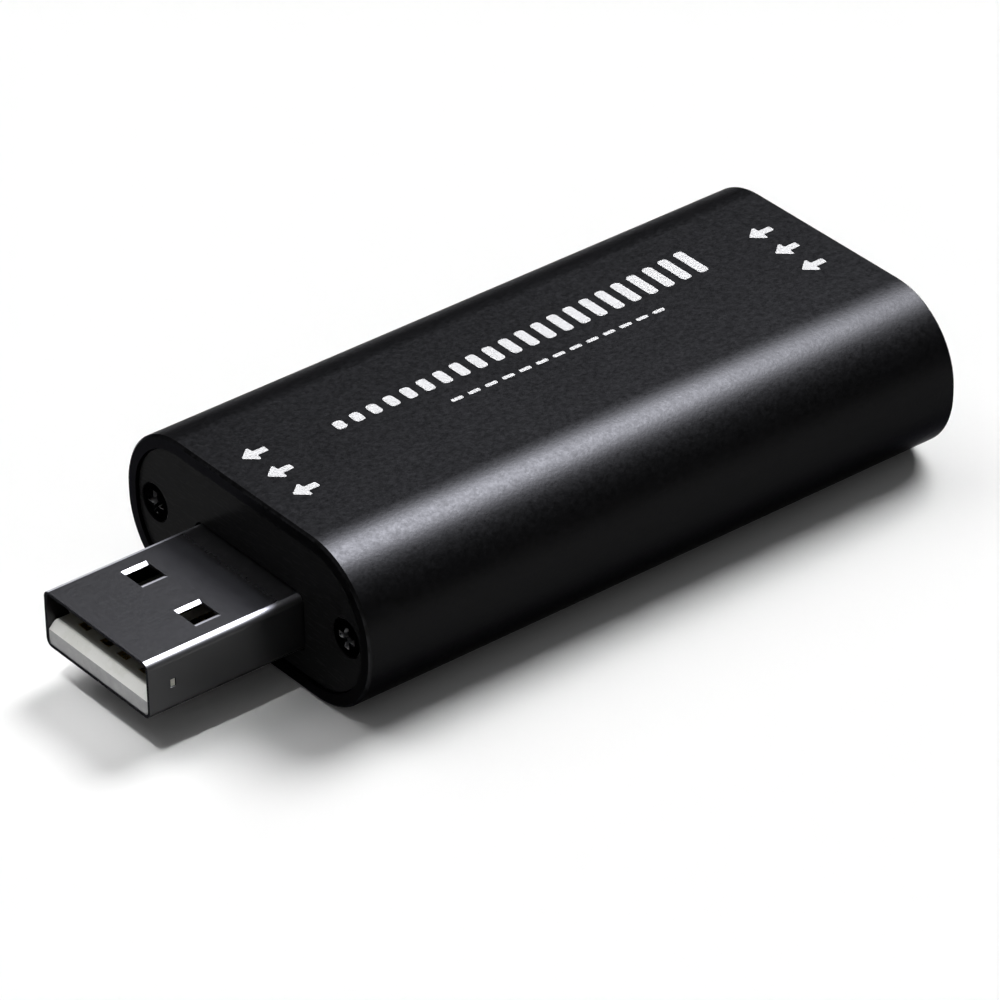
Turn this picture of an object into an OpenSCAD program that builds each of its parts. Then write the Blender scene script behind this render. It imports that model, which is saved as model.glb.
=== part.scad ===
// Video capture stick: an extruded aluminium sleeve that holds one circuit board,
// with a computer plug at its output end (-X) and a video socket at its input end (+X).
// X runs along the sleeve, Y across it and Z up. The origin is the middle of the sleeve's underside.

/* [Sleeve] */
// Length of the sleeve
body_l = 52.3; // [48:0.1:70]
// Width of the sleeve
body_w = 27.7; // [26:0.1:36]
// Height of the sleeve
body_h = 13.1; // [12.2:0.1:18]
// Height of the flat band between the round corners of each side
side_flat = 0.6; // [0.2:0.1:1.6]
// Thickness of the sleeve's wall
wall_t = 1; // [0.8:0.05:1.3]
// Broken edge round each end of the sleeve
edge_break = 0.2; // [0.1:0.05:0.4]
// Distance of the screw ports from the sleeve's sides
port_inset = 2.95; // [2.7:0.05:3.6]
// Outer diameter of a screw port
port_d = 3.6; // [3:0.1:4.2]
// Bore of a screw port
port_bore_d = 1.7; // [1.4:0.1:2]
// Width of the slit that opens a screw port towards the middle
port_slit = 0.8; // [0.4:0.1:1.2]
// Length over which the board rails grip the board's edge
rail_grip = 0.9; // [0.5:0.1:1.4]
// Thickness of the upper board rails
rail_t = 0.9; // [0.6:0.1:1.2]

/* [End plates] */
// Thickness of an end plate
plate_t = 1.5; // [1.2:0.1:2]
// Depth of an end plate's face behind the sleeve's end
plate_recess = 0.25; // [0:0.05:0.4]
// Clearance between an end plate and the sleeve's mouth
plate_gap = 0.08; // [0.04:0.02:0.2]
// Clearance between the connectors and the windows in the end plates
window_gap = 0.15; // [0.1:0.05:0.3]

/* [Screws] */
// Diameter of a screw head
head_d = 2.9; // [2.6:0.1:3.4]
// Depth of the head's straight rim
head_rim = 0.15; // [0.1:0.05:0.25]
// Depth of a screw head's face behind the end plate's face
head_sink = 0.06; // [0:0.02:0.2]
// Core diameter of a screw's shank
shank_d = 1.6; // [1.2:0.05:1.65]
// Length of a screw below its head's face
screw_l = 7; // [5:0.5:9]
// Width of the arms of the cross recess
recess_w = 0.45; // [0.3:0.05:0.6]
// Length of the arms of the cross recess, from end to end
recess_l = 1.7; // [1.2:0.1:2]
// Depth of the cross recess
recess_depth = 0.6; // [0.3:0.05:0.8]
// Clearance round a screw in its hole
screw_gap = 0.04; // [0.02:0.01:0.1]

/* [Board] */
// Height of the board's top face, on which both connectors stand
board_top = 2.9; // [2.7:0.05:3.4]
// Thickness of the board
board_t = 1; // [0.8:0.1:1.2]
// Clearance between the board's edges and the sleeve, plates and rails
board_gap = 0.15; // [0.1:0.05:0.3]
// Clearance between legs or tails and their holes in the board
hole_gap = 0.1; // [0.05:0.05:0.2]
// Length of legs and tails below the board
leg_out = 0.5; // [0.3:0.05:0.6]

/* [Plug] */
// Width of the plug's shell
plug_w = 12; // [11:0.1:13]
// Height of the plug's shell
plug_h = 4.5; // [4.2:0.1:5]
// Length of the plug outside the sleeve
plug_l = 12.6; // [12:0.1:18]
// Length of the plug's shell inside the sleeve
plug_inside = 5.25; // [4.8:0.05:7]
// Thickness of the plug's sheet metal
sheet_t = 0.25; // [0.2:0.05:0.4]
// Outside radius of the shell's bends
bend_r = 0.6; // [0.5:0.05:0.8]
// Gap of the seam along the shell's underside
seam_w = 0.1; // [0.05:0.05:0.2]
// Distance of the shell's windows from the plug's tip to their middle
catch_x = 6.3; // [5:0.1:8]
// Length of a shell window
catch_l = 2.1; // [1.6:0.05:2.6]
// Width of a shell window with its sloped rims
catch_w = 2.5; // [2:0.1:2.8]
// Width of the sloped rim that the punch leaves on each long edge of a shell window
catch_roll = 0.35; // [0.2:0.05:0.45]
// Depth of that rim's lower edge below the shell's face
catch_sink = 0.13; // [0.08:0.01:0.18]
// Distance between the middles of a pair of shell windows
catch_pitch = 6.1; // [5.4:0.1:7]
// Distance of the side holes from the plug's tip
lug_x = 2; // [1.6:0.1:4]
// Length of a side hole
lug_l = 0.45; // [0.3:0.05:0.8]
// Height of a side hole
lug_h = 0.65; // [0.4:0.05:0.9]
// Thickness of the ears on the tongue that carry the lugs in the side holes
ear_t = 0.25; // [0.2:0.05:0.5]
// Height of the plug's tongue
tongue_t = 1.8; // [1.6:0.05:2.1]
// Distance of the tongue's front from the plug's tip
tongue_set = 0.05; // [0:0.05:0.2]
// Height and depth of the lead-in slope along the tongue's upper front edge
tongue_lead = 0.7; // [0.3:0.05:0.8]
// Depth of the plug's mouth above the tongue
mouth_depth = 11.9; // [11:0.1:12.4]
// Width of a plug contact
pin_w = 1; // [0.8:0.05:1.2]
// Thickness of a plug contact
pin_t = 0.25; // [0.15:0.05:0.3]
// Distance of the contacts' front from the plug's tip
pin_set = 1.3; // [1:0.1:2.5]
// Distance between the two middle contacts
pin_inner = 2; // [1.8:0.1:2.4]
// Distance between the two outer contacts
pin_outer = 7; // [6.4:0.1:7.6]
// Outside radius of the bend in a contact's tail
pin_bend_r = 0.6; // [0.5:0.05:0.9]
// Width of a leg of the plug's shell
plug_leg_w = 1.6; // [1:0.1:2]
// Distance from the shell's rear to the middle of its legs
plug_leg_x = 1.6; // [1.2:0.1:2]
// Clearance of an insulator in its shell and of contacts in an insulator
fit_gap = 0.05; // [0.03:0.01:0.1]

/* [Socket] */
// Width of the socket's mouth
mouth_w = 14; // [13:0.1:15]
// Height of the socket's mouth
mouth_h = 4.55; // [4.2:0.05:5]
// Width of the mouth along its floor
mouth_floor_w = 10.4; // [9:0.1:11.5]
// Height of the mouth's upright sides
mouth_side_h = 2.3; // [1.8:0.1:2.8]
// Length of the socket's shell
socket_l = 11.6; // [10.5:0.1:14]
// Thickness of the socket's sheet metal
socket_sheet = 0.3; // [0.2:0.05:0.4]
// Width of the socket's tongue
blade_w = 11.2; // [10.4:0.1:12]
// Thickness of the socket's tongue
blade_t = 1; // [0.8:0.05:1.2]
// Distance of the tongue's front from the mouth
blade_set = 1.8; // [1:0.1:3]
// Length of the insulator's block at the shell's rear
block_l = 3.2; // [2.4:0.1:4]
// Count of contacts on the upper side of the tongue
upper_count = 10; // [6:1:10]
// Distance between contacts on one side of the tongue
blade_pitch = 1; // [0.9:0.05:1.05]
// Width of a socket contact
blade_pin_w = 0.36; // [0.25:0.01:0.4]
// Thickness of a socket contact
blade_pin_t = 0.15; // [0.1:0.01:0.2]
// Distance of the contacts' front from the tongue's front
blade_pin_set = 0.5; // [0.3:0.1:1]
// Length of a socket contact's foot on the board
blade_foot_l = 0.8; // [0.5:0.1:1.2]
// Length of a spring finger
finger_l = 4.2; // [3:0.1:5]
// Width of a spring finger
finger_w = 1.6; // [1.2:0.1:2]
// Slit round a spring finger
finger_slit = 0.3; // [0.2:0.05:0.5]
// Dip of a spring finger's tip into the mouth
finger_dip = 0.5; // [0.3:0.05:0.7]
// Distance of the spring fingers' tips from the mouth
finger_set = 1.6; // [1:0.1:2.5]
// Distance between the two spring fingers
finger_pitch = 6; // [5:0.1:7]
// Width of a leg of the socket's shell
socket_leg_w = 1.2; // [0.8:0.1:1.5]
// Distance from the shell's rear to the rear legs
rear_leg_x = 1.4; // [1:0.1:2]
// Distance between the front and rear legs
leg_pitch = 5.2; // [4:0.1:6]

/* [Board parts] */
// Gap between the board and a chip's body
stand_gap = 0.1; // [0.05:0.05:0.2]
// Side of the square capture chip
chip_side = 10; // [8:0.5:11]
// Height of the capture chip's body
chip_h = 1.2; // [0.9:0.05:1.6]
// Count of leads on each side of the capture chip
chip_lead_count = 16; // [8:1:16]
// Distance between the capture chip's leads
chip_pitch = 0.5; // [0.45:0.01:0.52]
// Width of a lead of the capture chip
chip_lead_w = 0.22; // [0.15:0.01:0.28]
// Thickness of the lead frames
lead_t = 0.15; // [0.1:0.01:0.2]
// Length of the capture chip's leads, along the board
chip_lead_l = 1; // [0.8:0.05:1.2]
// Length of a lead's foot
foot_l = 0.5; // [0.3:0.05:0.55]
// Distance of the capture chip's middle from the sleeve's middle
chip_x = -5; // [-6:0.1:-4.5]
// Length of the memory chip's body
memory_l = 4.9; // [4.4:0.1:5.2]
// Width of the memory chip's body
memory_w = 3.9; // [3.4:0.1:4.1]
// Height of the memory chip's body
memory_h = 1.4; // [1:0.05:1.6]
// Count of leads on each side of the memory chip
memory_lead_count = 4; // [2:1:4]
// Distance between the memory chip's leads
memory_pitch = 1.27; // [1:0.01:1.3]
// Width of a lead of the small packages
small_lead_w = 0.4; // [0.3:0.02:0.45]
// Length of the leads of the small packages, along the board
small_lead_l = 0.95; // [0.8:0.05:1]
// Distance of the memory chip's middle from the sleeve's middle
memory_x = 7; // [6.4:0.1:8]
// Distance of the memory chip's middle from the sleeve's centre line
memory_y = -4.6; // [-5.2:0.1:-4.2]
// Length of the regulator's body
regulator_l = 2.9; // [2.6:0.1:3.2]
// Width of the regulator's body
regulator_w = 1.6; // [1.3:0.1:1.8]
// Height of the regulator's body
regulator_h = 1.1; // [0.8:0.05:1.3]
// Count of leads on the regulator's side towards the plug
regulator_in_count = 3; // [2:1:3]
// Count of leads on the regulator's side towards the capture chip
regulator_out_count = 2; // [1:1:2]
// Distance between the regulator's leads
regulator_pitch = 0.95; // [0.8:0.01:1]
// Distance of the regulator's middle from the sleeve's middle
regulator_x = -15.5; // [-16:0.1:-15]
// Distance of the regulator's middle from the sleeve's centre line
regulator_y = 5.5; // [5:0.1:6]
// Length of the crystal
crystal_l = 3.2; // [2.8:0.1:3.6]
// Width of the crystal
crystal_w = 2.5; // [2:0.1:2.8]
// Height of the crystal's ceramic base
crystal_base_h = 0.55; // [0.4:0.05:0.8]
// Height of the crystal's lid
crystal_lid_h = 0.2; // [0.1:0.05:0.3]
// Distance of the lid's edge from the base's edge
crystal_lid_inset = 0.15; // [0.05:0.05:0.3]
// Distance of the crystal's middle from the sleeve's middle
crystal_x = 5.5; // [5:0.1:6]
// Distance of the crystal's middle from the sleeve's centre line
crystal_y = 5.8; // [5.2:0.1:6.4]
// Length of a surge array
surge_l = 2.5; // [2:0.1:2.8]
// Width of a surge array
surge_w = 1; // [0.8:0.1:1.2]
// Height of a surge array
surge_h = 0.6; // [0.4:0.05:0.8]
// Distance between the two surge arrays
surge_pitch = 4; // [3.4:0.1:4.4]
// Distance of the surge arrays' middle from the sleeve's centre line
surge_y = 3.2; // [2.8:0.1:3.6]
// Distance from the surge arrays to the feet of the socket's contacts
surge_set = 1; // [0.6:0.1:1.2]
// Length of a filter bead
bead_l = 1.6; // [1.2:0.1:2]
// Width of a filter bead
bead_w = 0.8; // [0.6:0.1:1]
// Distance between the two filter beads
bead_pitch = 1.6; // [1.4:0.1:2]
// Distance from the plug's tails to the filter beads
bead_set = 1.2; // [0.8:0.1:1.4]
// Length of a large capacitor
large_l = 3.2; // [2.8:0.1:3.4]
// Width of a large capacitor
large_w = 1.6; // [1.2:0.1:1.8]
// Distance between the large capacitors
large_pitch = 2.4; // [2.2:0.1:2.6]
// Distance of the large capacitors' middle from the sleeve's centre line
large_y = -5.4; // [-5.8:0.1:-4.8]
// Length of a small chip part
small_l = 1; // [0.8:0.1:1.2]
// Width of a small chip part
small_w = 0.5; // [0.4:0.05:0.6]
// Height of a chip resistor
resistor_h = 0.35; // [0.25:0.05:0.5]
// Share of a chip part's length that each metal end takes
end_share = 0.22; // [0.15:0.01:0.3]
// Count of small capacitors in each row beside the capture chip
row_count = 8; // [4:1:10]
// Distance between the small capacitors of a row
row_pitch = 1.2; // [1:0.05:1.25]
// Distance from the capture chip's feet to the rows of small capacitors
row_set = 0.8; // [0.5:0.05:0.9]
// Count of chip resistors
resistor_count = 8; // [4:1:9]
// Distance between the chip resistors
resistor_pitch = 1; // [0.9:0.05:1.2]
// Distance from the capture chip's feet to the chip resistors
resistor_set = 0.6; // [0.4:0.05:0.8]

/* [Hidden] */
$fn = 64;
// Overrun of a cut past the faces that it opens
over = 1;

// Sleeve
corner_r = (body_h - side_flat) / 2;
inner_w = body_w - 2 * wall_t;
inner_h = body_h - 2 * wall_t;
inner_r = corner_r - wall_t;
mid_z = body_h / 2;
end_x = body_l / 2;
plate_x = end_x - plate_recess;
seat_x = plate_x - plate_t;
port_y = body_w / 2 - port_inset;

// Board: its edges stop short of the round inside of the sleeve
board_bottom = board_top - board_t;
corner_drop = wall_t + inner_r - board_bottom;
board_half_w = inner_w / 2 - inner_r + sqrt(inner_r * inner_r - corner_drop * corner_drop) - board_gap;
board_half_l = seat_x - board_gap;
leg_bottom = board_bottom - leg_out;
rail_y = board_half_w - rail_grip;

// Plug
tip_x = -end_x - plug_l;
plug_rear = -end_x + plug_inside;
plug_mid_z = board_top + plug_h / 2;
tongue_bottom = board_top + sheet_t;
tongue_top = tongue_bottom + tongue_t;
tongue_front = tip_x + tongue_set;
tongue_half_w = plug_w / 2 - sheet_t - fit_gap;
pin_ys = [for (side = [-1, 1], gap = [pin_inner, pin_outer]) side * gap / 2];
pin_tail_x = plug_rear + pin_bend_r;
pin_hole_d = norm([pin_w, pin_t]) + 2 * hole_gap;
lug_z = plug_mid_z - lug_h / 2;
plug_legs_x = plug_rear - plug_leg_x;
plug_leg_y = plug_w / 2 - sheet_t / 2;

// Socket
socket_floor = board_top + socket_sheet;
socket_rear = plate_x - socket_l;
block_front = socket_rear + block_l;
blade_mid = socket_floor + mouth_h / 2;
blade_front = plate_x - blade_set;
blade_rows = [[upper_count, 1], [upper_count - 1, -1]];
slant = atan((mouth_w - mouth_floor_w) / 2 / (mouth_h - mouth_side_h));
riser_x = socket_rear - fit_gap;
foot_end_x = riser_x - blade_pin_t - blade_foot_l;
finger_tip_x = plate_x - finger_set;
finger_root_x = finger_tip_x - finger_l;
socket_leg_y = mouth_w / 2 + socket_sheet / 2;
socket_leg_xs = [for (step = [0, 1]) socket_rear + rear_leg_x + step * leg_pitch];

// Board parts
chip_edge = chip_side / 2 + chip_lead_l;
row_y = chip_edge + row_set + small_l / 2;
resistor_x = chip_x + chip_edge + resistor_set + small_l / 2;
surge_x = foot_end_x - surge_set - surge_w / 2;
bead_x = pin_tail_x + bead_set + bead_l / 2;
large_x = pin_tail_x + bead_set + large_l / 2;

// Extrudes a profile drawn across the sleeve, in Y and Z, from x0 to x1
module along_x(x0, x1) {
    translate([x0, 0, 0])
        rotate([90, 0, 90])
            linear_extrude(x1 - x0)
                children();
}

// Extrudes a profile drawn along the sleeve, in X and Z, by a width centred on y
module along_y(y, width) {
    translate([0, y + width / 2, 0])
        rotate([90, 0, 0])
            linear_extrude(width)
                children();
}

// Box between two corners
module box(low, high) {
    translate(low)
        cube(high - low);
}

// Box that stands on a height, centred in plan
module block(x, y, z, size) {
    translate([x - size[0] / 2, y - size[1] / 2, z])
        cube(size);
}

// Cylinder along X
module rod(x0, x1, y, z, d) {
    translate([x0, y, z])
        rotate([0, 90, 0])
            cylinder(h = x1 - x0, d = d);
}

// Rectangle with round corners, centred
module round_rect(w, h, r) {
    square([w - 2 * r, h], center = true);
    square([w, h - 2 * r], center = true);
    for (sx = [-1, 1], sy = [-1, 1])
        translate([sx * (w / 2 - r), sy * (h / 2 - r)])
            circle(r = r);
}

// Bar of the sleeve's outline whose end edges are broken: round bars in the corners, flat bars between
module sleeve_bar() {
    flat_y = body_w / 2 - corner_r;
    flat_z = body_h / 2 - corner_r;
    for (sy = [-1, 1], sz = [-1, 1])
        translate([0, sy * flat_y, mid_z + sz * flat_z])
            rotate([0, 90, 0])
                rotate_extrude()
                    polygon([
                        [0, -end_x], [corner_r - edge_break, -end_x], [corner_r, edge_break - end_x],
                        [corner_r, end_x - edge_break], [corner_r - edge_break, end_x], [0, end_x]
                    ]);
    along_y(0, 2 * flat_y)
        translate([0, mid_z])
            broken_rect(end_x, body_h / 2);
    translate([0, 0, mid_z - flat_z])
        linear_extrude(2 * flat_z)
            broken_rect(end_x, body_w / 2);
}

// Rectangle with broken corners, of the given half length and half width
module broken_rect(half_l, half_w) {
    polygon([for (corner = [[1, 1], [-1, 1], [-1, -1], [1, -1]], first = [true, false])
        let (lengthwise = (corner[0] * corner[1] > 0) == first)
        [
            corner[0] * (half_l - (lengthwise ? 0 : edge_break)),
            corner[1] * (half_w - (lengthwise ? edge_break : 0))
        ]]);
}

// Profile of the screw ports and board rails, which reach half way into the sleeve's wall
module sleeve_inside() {
    difference() {
        intersection() {
            union() {
                for (side = [-1, 1]) {
                    translate([side * port_y, mid_z])
                        circle(d = port_d);
                    translate([side * (port_y + port_inset / 2), mid_z])
                        square([port_inset, port_d - wall_t], center = true);
                    mirror([side < 0 ? 1 : 0, 0]) {
                        translate([rail_y, 0])
                            square([body_w / 2 - rail_y, board_bottom]);
                        translate([rail_y, board_top + board_gap])
                            square([body_w / 2 - rail_y, rail_t]);
                    }
                }
            }
            translate([0, mid_z])
                round_rect(body_w - wall_t, body_h - wall_t, corner_r - wall_t / 2);
        }
        for (side = [-1, 1]) {
            translate([side * port_y, mid_z])
                circle(d = port_bore_d);
            translate([side * (port_y - port_d / 2), mid_z])
                square([port_d, port_slit], center = true);
        }
    }
}

module housing_sleeve() {
    color("#2a2a2d") {
        union() {
            difference() {
                sleeve_bar();
                along_x(-end_x - over, end_x + over)
                    translate([0, mid_z])
                        round_rect(inner_w, inner_h, inner_r);
            }
            along_x(-seat_x, seat_x)
                sleeve_inside();
        }
    }
}

// Countersunk screw, or the hole for it when grown by a gap, along -X with its head's face at x = 0
module screw_form(gap) {
    cone_h = (head_d - shank_d) / 2;
    translate([0, 0, -head_rim - gap])
        cylinder(h = head_rim + gap, d = head_d + 2 * gap);
    translate([0, 0, -head_rim - gap - cone_h])
        cylinder(h = cone_h, d1 = shank_d + 2 * gap, d2 = head_d + 2 * gap);
    translate([0, 0, -screw_l])
        cylinder(h = screw_l - head_rim - cone_h / 2, d = shank_d + 2 * gap);
}

// Places a form at both screws of one end
module at_screws(end) {
    for (side = [-1, 1])
        translate([end * (plate_x - head_sink), side * port_y, mid_z])
            rotate([0, end * 90, 0])
                children();
}

module end_screws(end) {
    color("#8d8d90")
        at_screws(end)
            difference() {
                screw_form(0);
                for (turn = [0, 90])
                    rotate([0, 0, turn])
                        block(0, 0, -recess_depth, [recess_l, recess_w, recess_depth + over]);
            }
}

module output_end_screws() {
    end_screws(-1);
}

module input_end_screws() {
    end_screws(1);
}

// Plate let into the sleeve's mouth; its child is the profile of the connector's window
module end_plate(end) {
    face_x = end * plate_x;
    back_x = end * seat_x;
    color("#161616")
        difference() {
            along_x(min(face_x, back_x), max(face_x, back_x))
                translate([0, mid_z])
                    round_rect(inner_w - 2 * plate_gap, inner_h - 2 * plate_gap, inner_r - plate_gap);
            along_x(min(face_x, back_x) - over, max(face_x, back_x) + over)
                children();
            at_screws(end) {
                screw_form(screw_gap);
                cylinder(h = head_sink + over, d = head_d + 2 * screw_gap);
            }
        }
}

// Outline of the plug's shell, grown by a gap
module plug_outline(grow) {
    translate([0, plug_mid_z])
        round_rect(plug_w + 2 * grow, plug_h + 2 * grow, bend_r + grow);
}

module output_end_plate() {
    end_plate(-1)
        plug_outline(window_gap);
}

module input_end_plate() {
    end_plate(1)
        socket_outline(socket_sheet + window_gap);
}

module circuit_board() {
    color("#1f5c38")
        difference() {
            box([-board_half_l, -board_half_w, board_bottom], [board_half_l, board_half_w, board_top]);
            for (y = pin_ys)
                translate([pin_tail_x - pin_t / 2, y, board_bottom - over])
                    cylinder(h = board_t + 2 * over, d = pin_hole_d);
            for (side = [-1, 1]) {
                leg_slot(plug_legs_x, side * plug_leg_y, plug_leg_w, sheet_t);
                for (x = socket_leg_xs)
                    leg_slot(x, side * socket_leg_y, socket_leg_w, socket_sheet);
            }
        }
}

// Slot through the board for a sheet-metal leg
module leg_slot(x, y, leg_w, leg_t) {
    size = [leg_w + 2 * hole_gap, leg_t + 2 * hole_gap, board_t + 2 * over];
    block(x, y, board_bottom - over, size);
}

// Section of the cuts that slope the rims of a shell window above and of the one below it
module catch_rims(y) {
    low_half = catch_w / 2 - catch_roll;
    high_half = low_half + catch_roll * (catch_sink + over) / catch_sink;
    for (turn = [0, 180])
        translate([y, plug_mid_z])
            rotate(turn)
                polygon([
                    [-low_half, plug_h / 2 - catch_sink], [low_half, plug_h / 2 - catch_sink],
                    [high_half, plug_h / 2 + over], [-high_half, plug_h / 2 + over]
                ]);
}

// Folded shell of the plug: windows with sloped rims above and below, a lug hole in each side,
// a seam underneath, two legs
module plug_shell() {
    leg_size = [plug_leg_w, sheet_t, plug_mid_z - leg_bottom];
    catch_size = [catch_l, catch_w - 2 * catch_roll, plug_h + 2 * over];
    catch_start = tip_x + catch_x - catch_l / 2;
    color("#b9bbc0")
        difference() {
            union() {
                along_x(tip_x, plug_rear)
                    plug_outline(0);
                for (side = [-1, 1])
                    block(plug_legs_x, side * plug_leg_y, leg_bottom, leg_size);
            }
            along_x(tip_x - over, plug_rear + over)
                plug_outline(-sheet_t);
            for (side = [-1, 1]) {
                block(tip_x + catch_x, side * catch_pitch / 2, board_top - over, catch_size);
                along_x(catch_start, catch_start + catch_l)
                    catch_rims(side * catch_pitch / 2);
                block(tip_x + lug_x, side * plug_w / 2, lug_z, [lug_l, 2 * over, lug_h]);
            }
            box([tip_x - over, -seam_w / 2, board_top - over],
                [plug_rear + over, seam_w / 2, tongue_bottom + fit_gap]);
        }
}

// White insulator of the plug: a tongue with a sloped front and grooves for the contacts,
// a block that fills the shell's rear, and an ear at each side with a lug in the shell's side hole
module plug_tongue() {
    block_h = plug_h - 2 * sheet_t - fit_gap;
    block_r = bend_r - sheet_t;
    color("#e9e9e4")
        difference() {
            union() {
                along_x(tongue_front, plug_rear)
                    tongue_section(tongue_t, block_r);
                along_x(tip_x + mouth_depth, plug_rear)
                    tongue_section(block_h, block_r);
                for (side = [-1, 1])
                    mirror([0, side < 0 ? 1 : 0, 0])
                        along_x(tip_x + lug_x - lug_l / 2 + fit_gap, tip_x + lug_x + lug_l / 2 - fit_gap)
                            tongue_ear();
            }
            for (y = pin_ys)
                box([tip_x + pin_set, y - pin_w / 2 - fit_gap, tongue_top - pin_t],
                    [plug_rear + over, y + pin_w / 2 + fit_gap, tongue_top + fit_gap]);
            along_y(0, plug_w)
                translate([tongue_front, tongue_top - tongue_lead])
                    polygon([
                        [-over, -over], [tongue_lead + over, tongue_lead + over],
                        [-over, tongue_lead + over]
                    ]);
        }
}

// Section of the plug's insulator, standing on the shell's floor with round corners
module tongue_section(height, r) {
    translate([0, tongue_bottom + height / 2])
        round_rect(2 * tongue_half_w, height, r);
}

// Section of an ear: it stands on the tongue's edge, and its lug reaches into the shell's wall
module tongue_ear() {
    foot_z = tongue_bottom + tongue_t / 2;
    lug_reach = plug_w / 2 - fit_gap;
    lug_bottom = lug_z + fit_gap;
    lug_top = lug_z + lug_h - fit_gap;
    polygon([
        [tongue_half_w - ear_t, foot_z], [tongue_half_w, foot_z], [tongue_half_w, lug_bottom],
        [lug_reach, lug_bottom], [lug_reach, lug_top], [tongue_half_w - ear_t, lug_top]
    ]);
}

// Four strips that lie in the tongue's grooves, turn down behind the shell and pass through the board
module plug_contacts() {
    turn_x = pin_tail_x - pin_bend_r;
    turn_z = tongue_top - pin_bend_r;
    color("#d8b45a")
        for (y = pin_ys)
            along_y(y, pin_w) {
                translate([tip_x + pin_set, tongue_top - pin_t])
                    square([turn_x - tip_x - pin_set, pin_t]);
                translate([turn_x, turn_z])
                    intersection() {
                        difference() {
                            circle(r = pin_bend_r);
                            circle(r = pin_bend_r - pin_t);
                        }
                        square(pin_bend_r);
                    }
                translate([pin_tail_x - pin_t, leg_bottom])
                    square([pin_t, turn_z - leg_bottom]);
            }
}

// Outline of the socket's mouth, grown by a gap on every side
module socket_outline(grow) {
    side_x = mouth_w / 2 + grow;
    side_z = mouth_h - mouth_side_h - grow * tan(slant / 2);
    floor_x = mouth_floor_w / 2 + grow * tan((90 - slant) / 2);
    translate([0, socket_floor])
        polygon([
            [-floor_x, -grow], [floor_x, -grow], [side_x, side_z],
            [side_x, mouth_h + grow], [-side_x, mouth_h + grow], [-side_x, side_z]
        ]);
}

// Folded shell of the socket, with two spring fingers in its roof and four legs
module socket_shell() {
    roof = socket_floor + mouth_h;
    leg_top = roof - mouth_side_h / 2;
    leg_size = [socket_leg_w, socket_sheet, leg_top - leg_bottom];
    slit_half_w = finger_w / 2 + finger_slit;
    color("#c6c8cc") {
        difference() {
            union() {
                along_x(socket_rear, plate_x)
                    socket_outline(socket_sheet);
                for (x = socket_leg_xs, side = [-1, 1])
                    block(x, side * socket_leg_y, leg_bottom, leg_size);
            }
            along_x(socket_rear - over, plate_x + over)
                socket_outline(0);
            for (side = [-1, 1])
                box([finger_root_x, side * finger_pitch / 2 - slit_half_w, roof - over],
                    [finger_tip_x + finger_slit, side * finger_pitch / 2 + slit_half_w, roof + over]);
        }
        for (side = [-1, 1])
            translate([finger_root_x, side * finger_pitch / 2, roof + socket_sheet])
                rotate([0, asin(finger_dip / finger_l), 0])
                    box([-socket_sheet, -finger_w / 2, -socket_sheet], [finger_l, finger_w / 2, 0]);
    }
}

// Insulator of the socket: a block at the rear and the tongue, grooved above and below for the contacts
module socket_tongue() {
    color("#1b1b1d")
        difference() {
            union() {
                along_x(socket_rear, block_front)
                    socket_outline(0);
                box([socket_rear, -blade_w / 2, blade_mid - blade_t / 2],
                    [blade_front, blade_w / 2, blade_mid + blade_t / 2]);
            }
            for (row = blade_rows, i = [0 : row[0] - 1])
                blade_groove(pin_place(row[0], blade_pitch, i), row[1]);
        }
}

// Place of one of a centred row of pins
function pin_place(count, pitch, i) = (i - (count - 1) / 2) * pitch;

// Groove for one contact, above (1) or below (-1) the tongue and on through the block
module blade_groove(y, side) {
    face_z = blade_mid + side * blade_t / 2;
    inner_z = face_z - side * blade_pin_t;
    outer_z = face_z + side * fit_gap;
    half_w = blade_pin_w / 2 + fit_gap;
    box([socket_rear - over, y - half_w, min(inner_z, outer_z)],
        [blade_front - blade_pin_set, y + half_w, max(inner_z, outer_z)]);
}

// Contacts of the socket: a strip in its groove, a riser behind the block and a foot on the board
module socket_contacts() {
    color("#d8b45a")
        for (row = blade_rows, i = [0 : row[0] - 1]) {
            strip_z = blade_mid + row[1] * (blade_t - blade_pin_t) / 2 - blade_pin_t / 2;
            along_y(pin_place(row[0], blade_pitch, i), blade_pin_w) {
                translate([riser_x - blade_pin_t, strip_z])
                    square([blade_front - blade_pin_set - riser_x + blade_pin_t, blade_pin_t]);
                translate([riser_x - blade_pin_t, board_top])
                    square([blade_pin_t, strip_z + blade_pin_t - board_top]);
                translate([foot_end_x, board_top])
                    square([blade_foot_l + blade_pin_t, blade_pin_t]);
            }
        }
}

// Gull-wing lead: leaves a package's side at x = 0 and half its height, and stands on the board
module gull_lead(package_h, lead_l, lead_w) {
    shoulder_z = board_top + stand_gap + (package_h - lead_t) / 2;
    along_y(0, lead_w) {
        translate([0, shoulder_z])
            square([lead_l - foot_l, lead_t]);
        translate([lead_l - foot_l - lead_t, board_top])
            square([lead_t, shoulder_z + lead_t - board_top]);
        translate([lead_l - foot_l - lead_t, board_top])
            square([foot_l + lead_t, lead_t]);
    }
}

// Row of gull-wing leads along one side of a package
module lead_row(count, pitch, package_h, lead_l, lead_w) {
    for (i = [0 : count - 1])
        translate([0, pin_place(count, pitch, i), 0])
            gull_lead(package_h, lead_l, lead_w);
}

module capture_chip() {
    color("#1c1c1e")
        block(chip_x, 0, board_top + stand_gap, [chip_side, chip_side, chip_h]);
}

module capture_chip_leads() {
    color("#c0c2c6")
        translate([chip_x, 0, 0])
            for (turn = [0 : 90 : 270])
                rotate([0, 0, turn])
                    translate([chip_side / 2, 0, 0])
                        lead_row(chip_lead_count, chip_pitch, chip_h, chip_lead_l, chip_lead_w);
}

module memory_chip() {
    color("#1c1c1e")
        block(memory_x, memory_y, board_top + stand_gap, [memory_l, memory_w, memory_h]);
}

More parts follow.
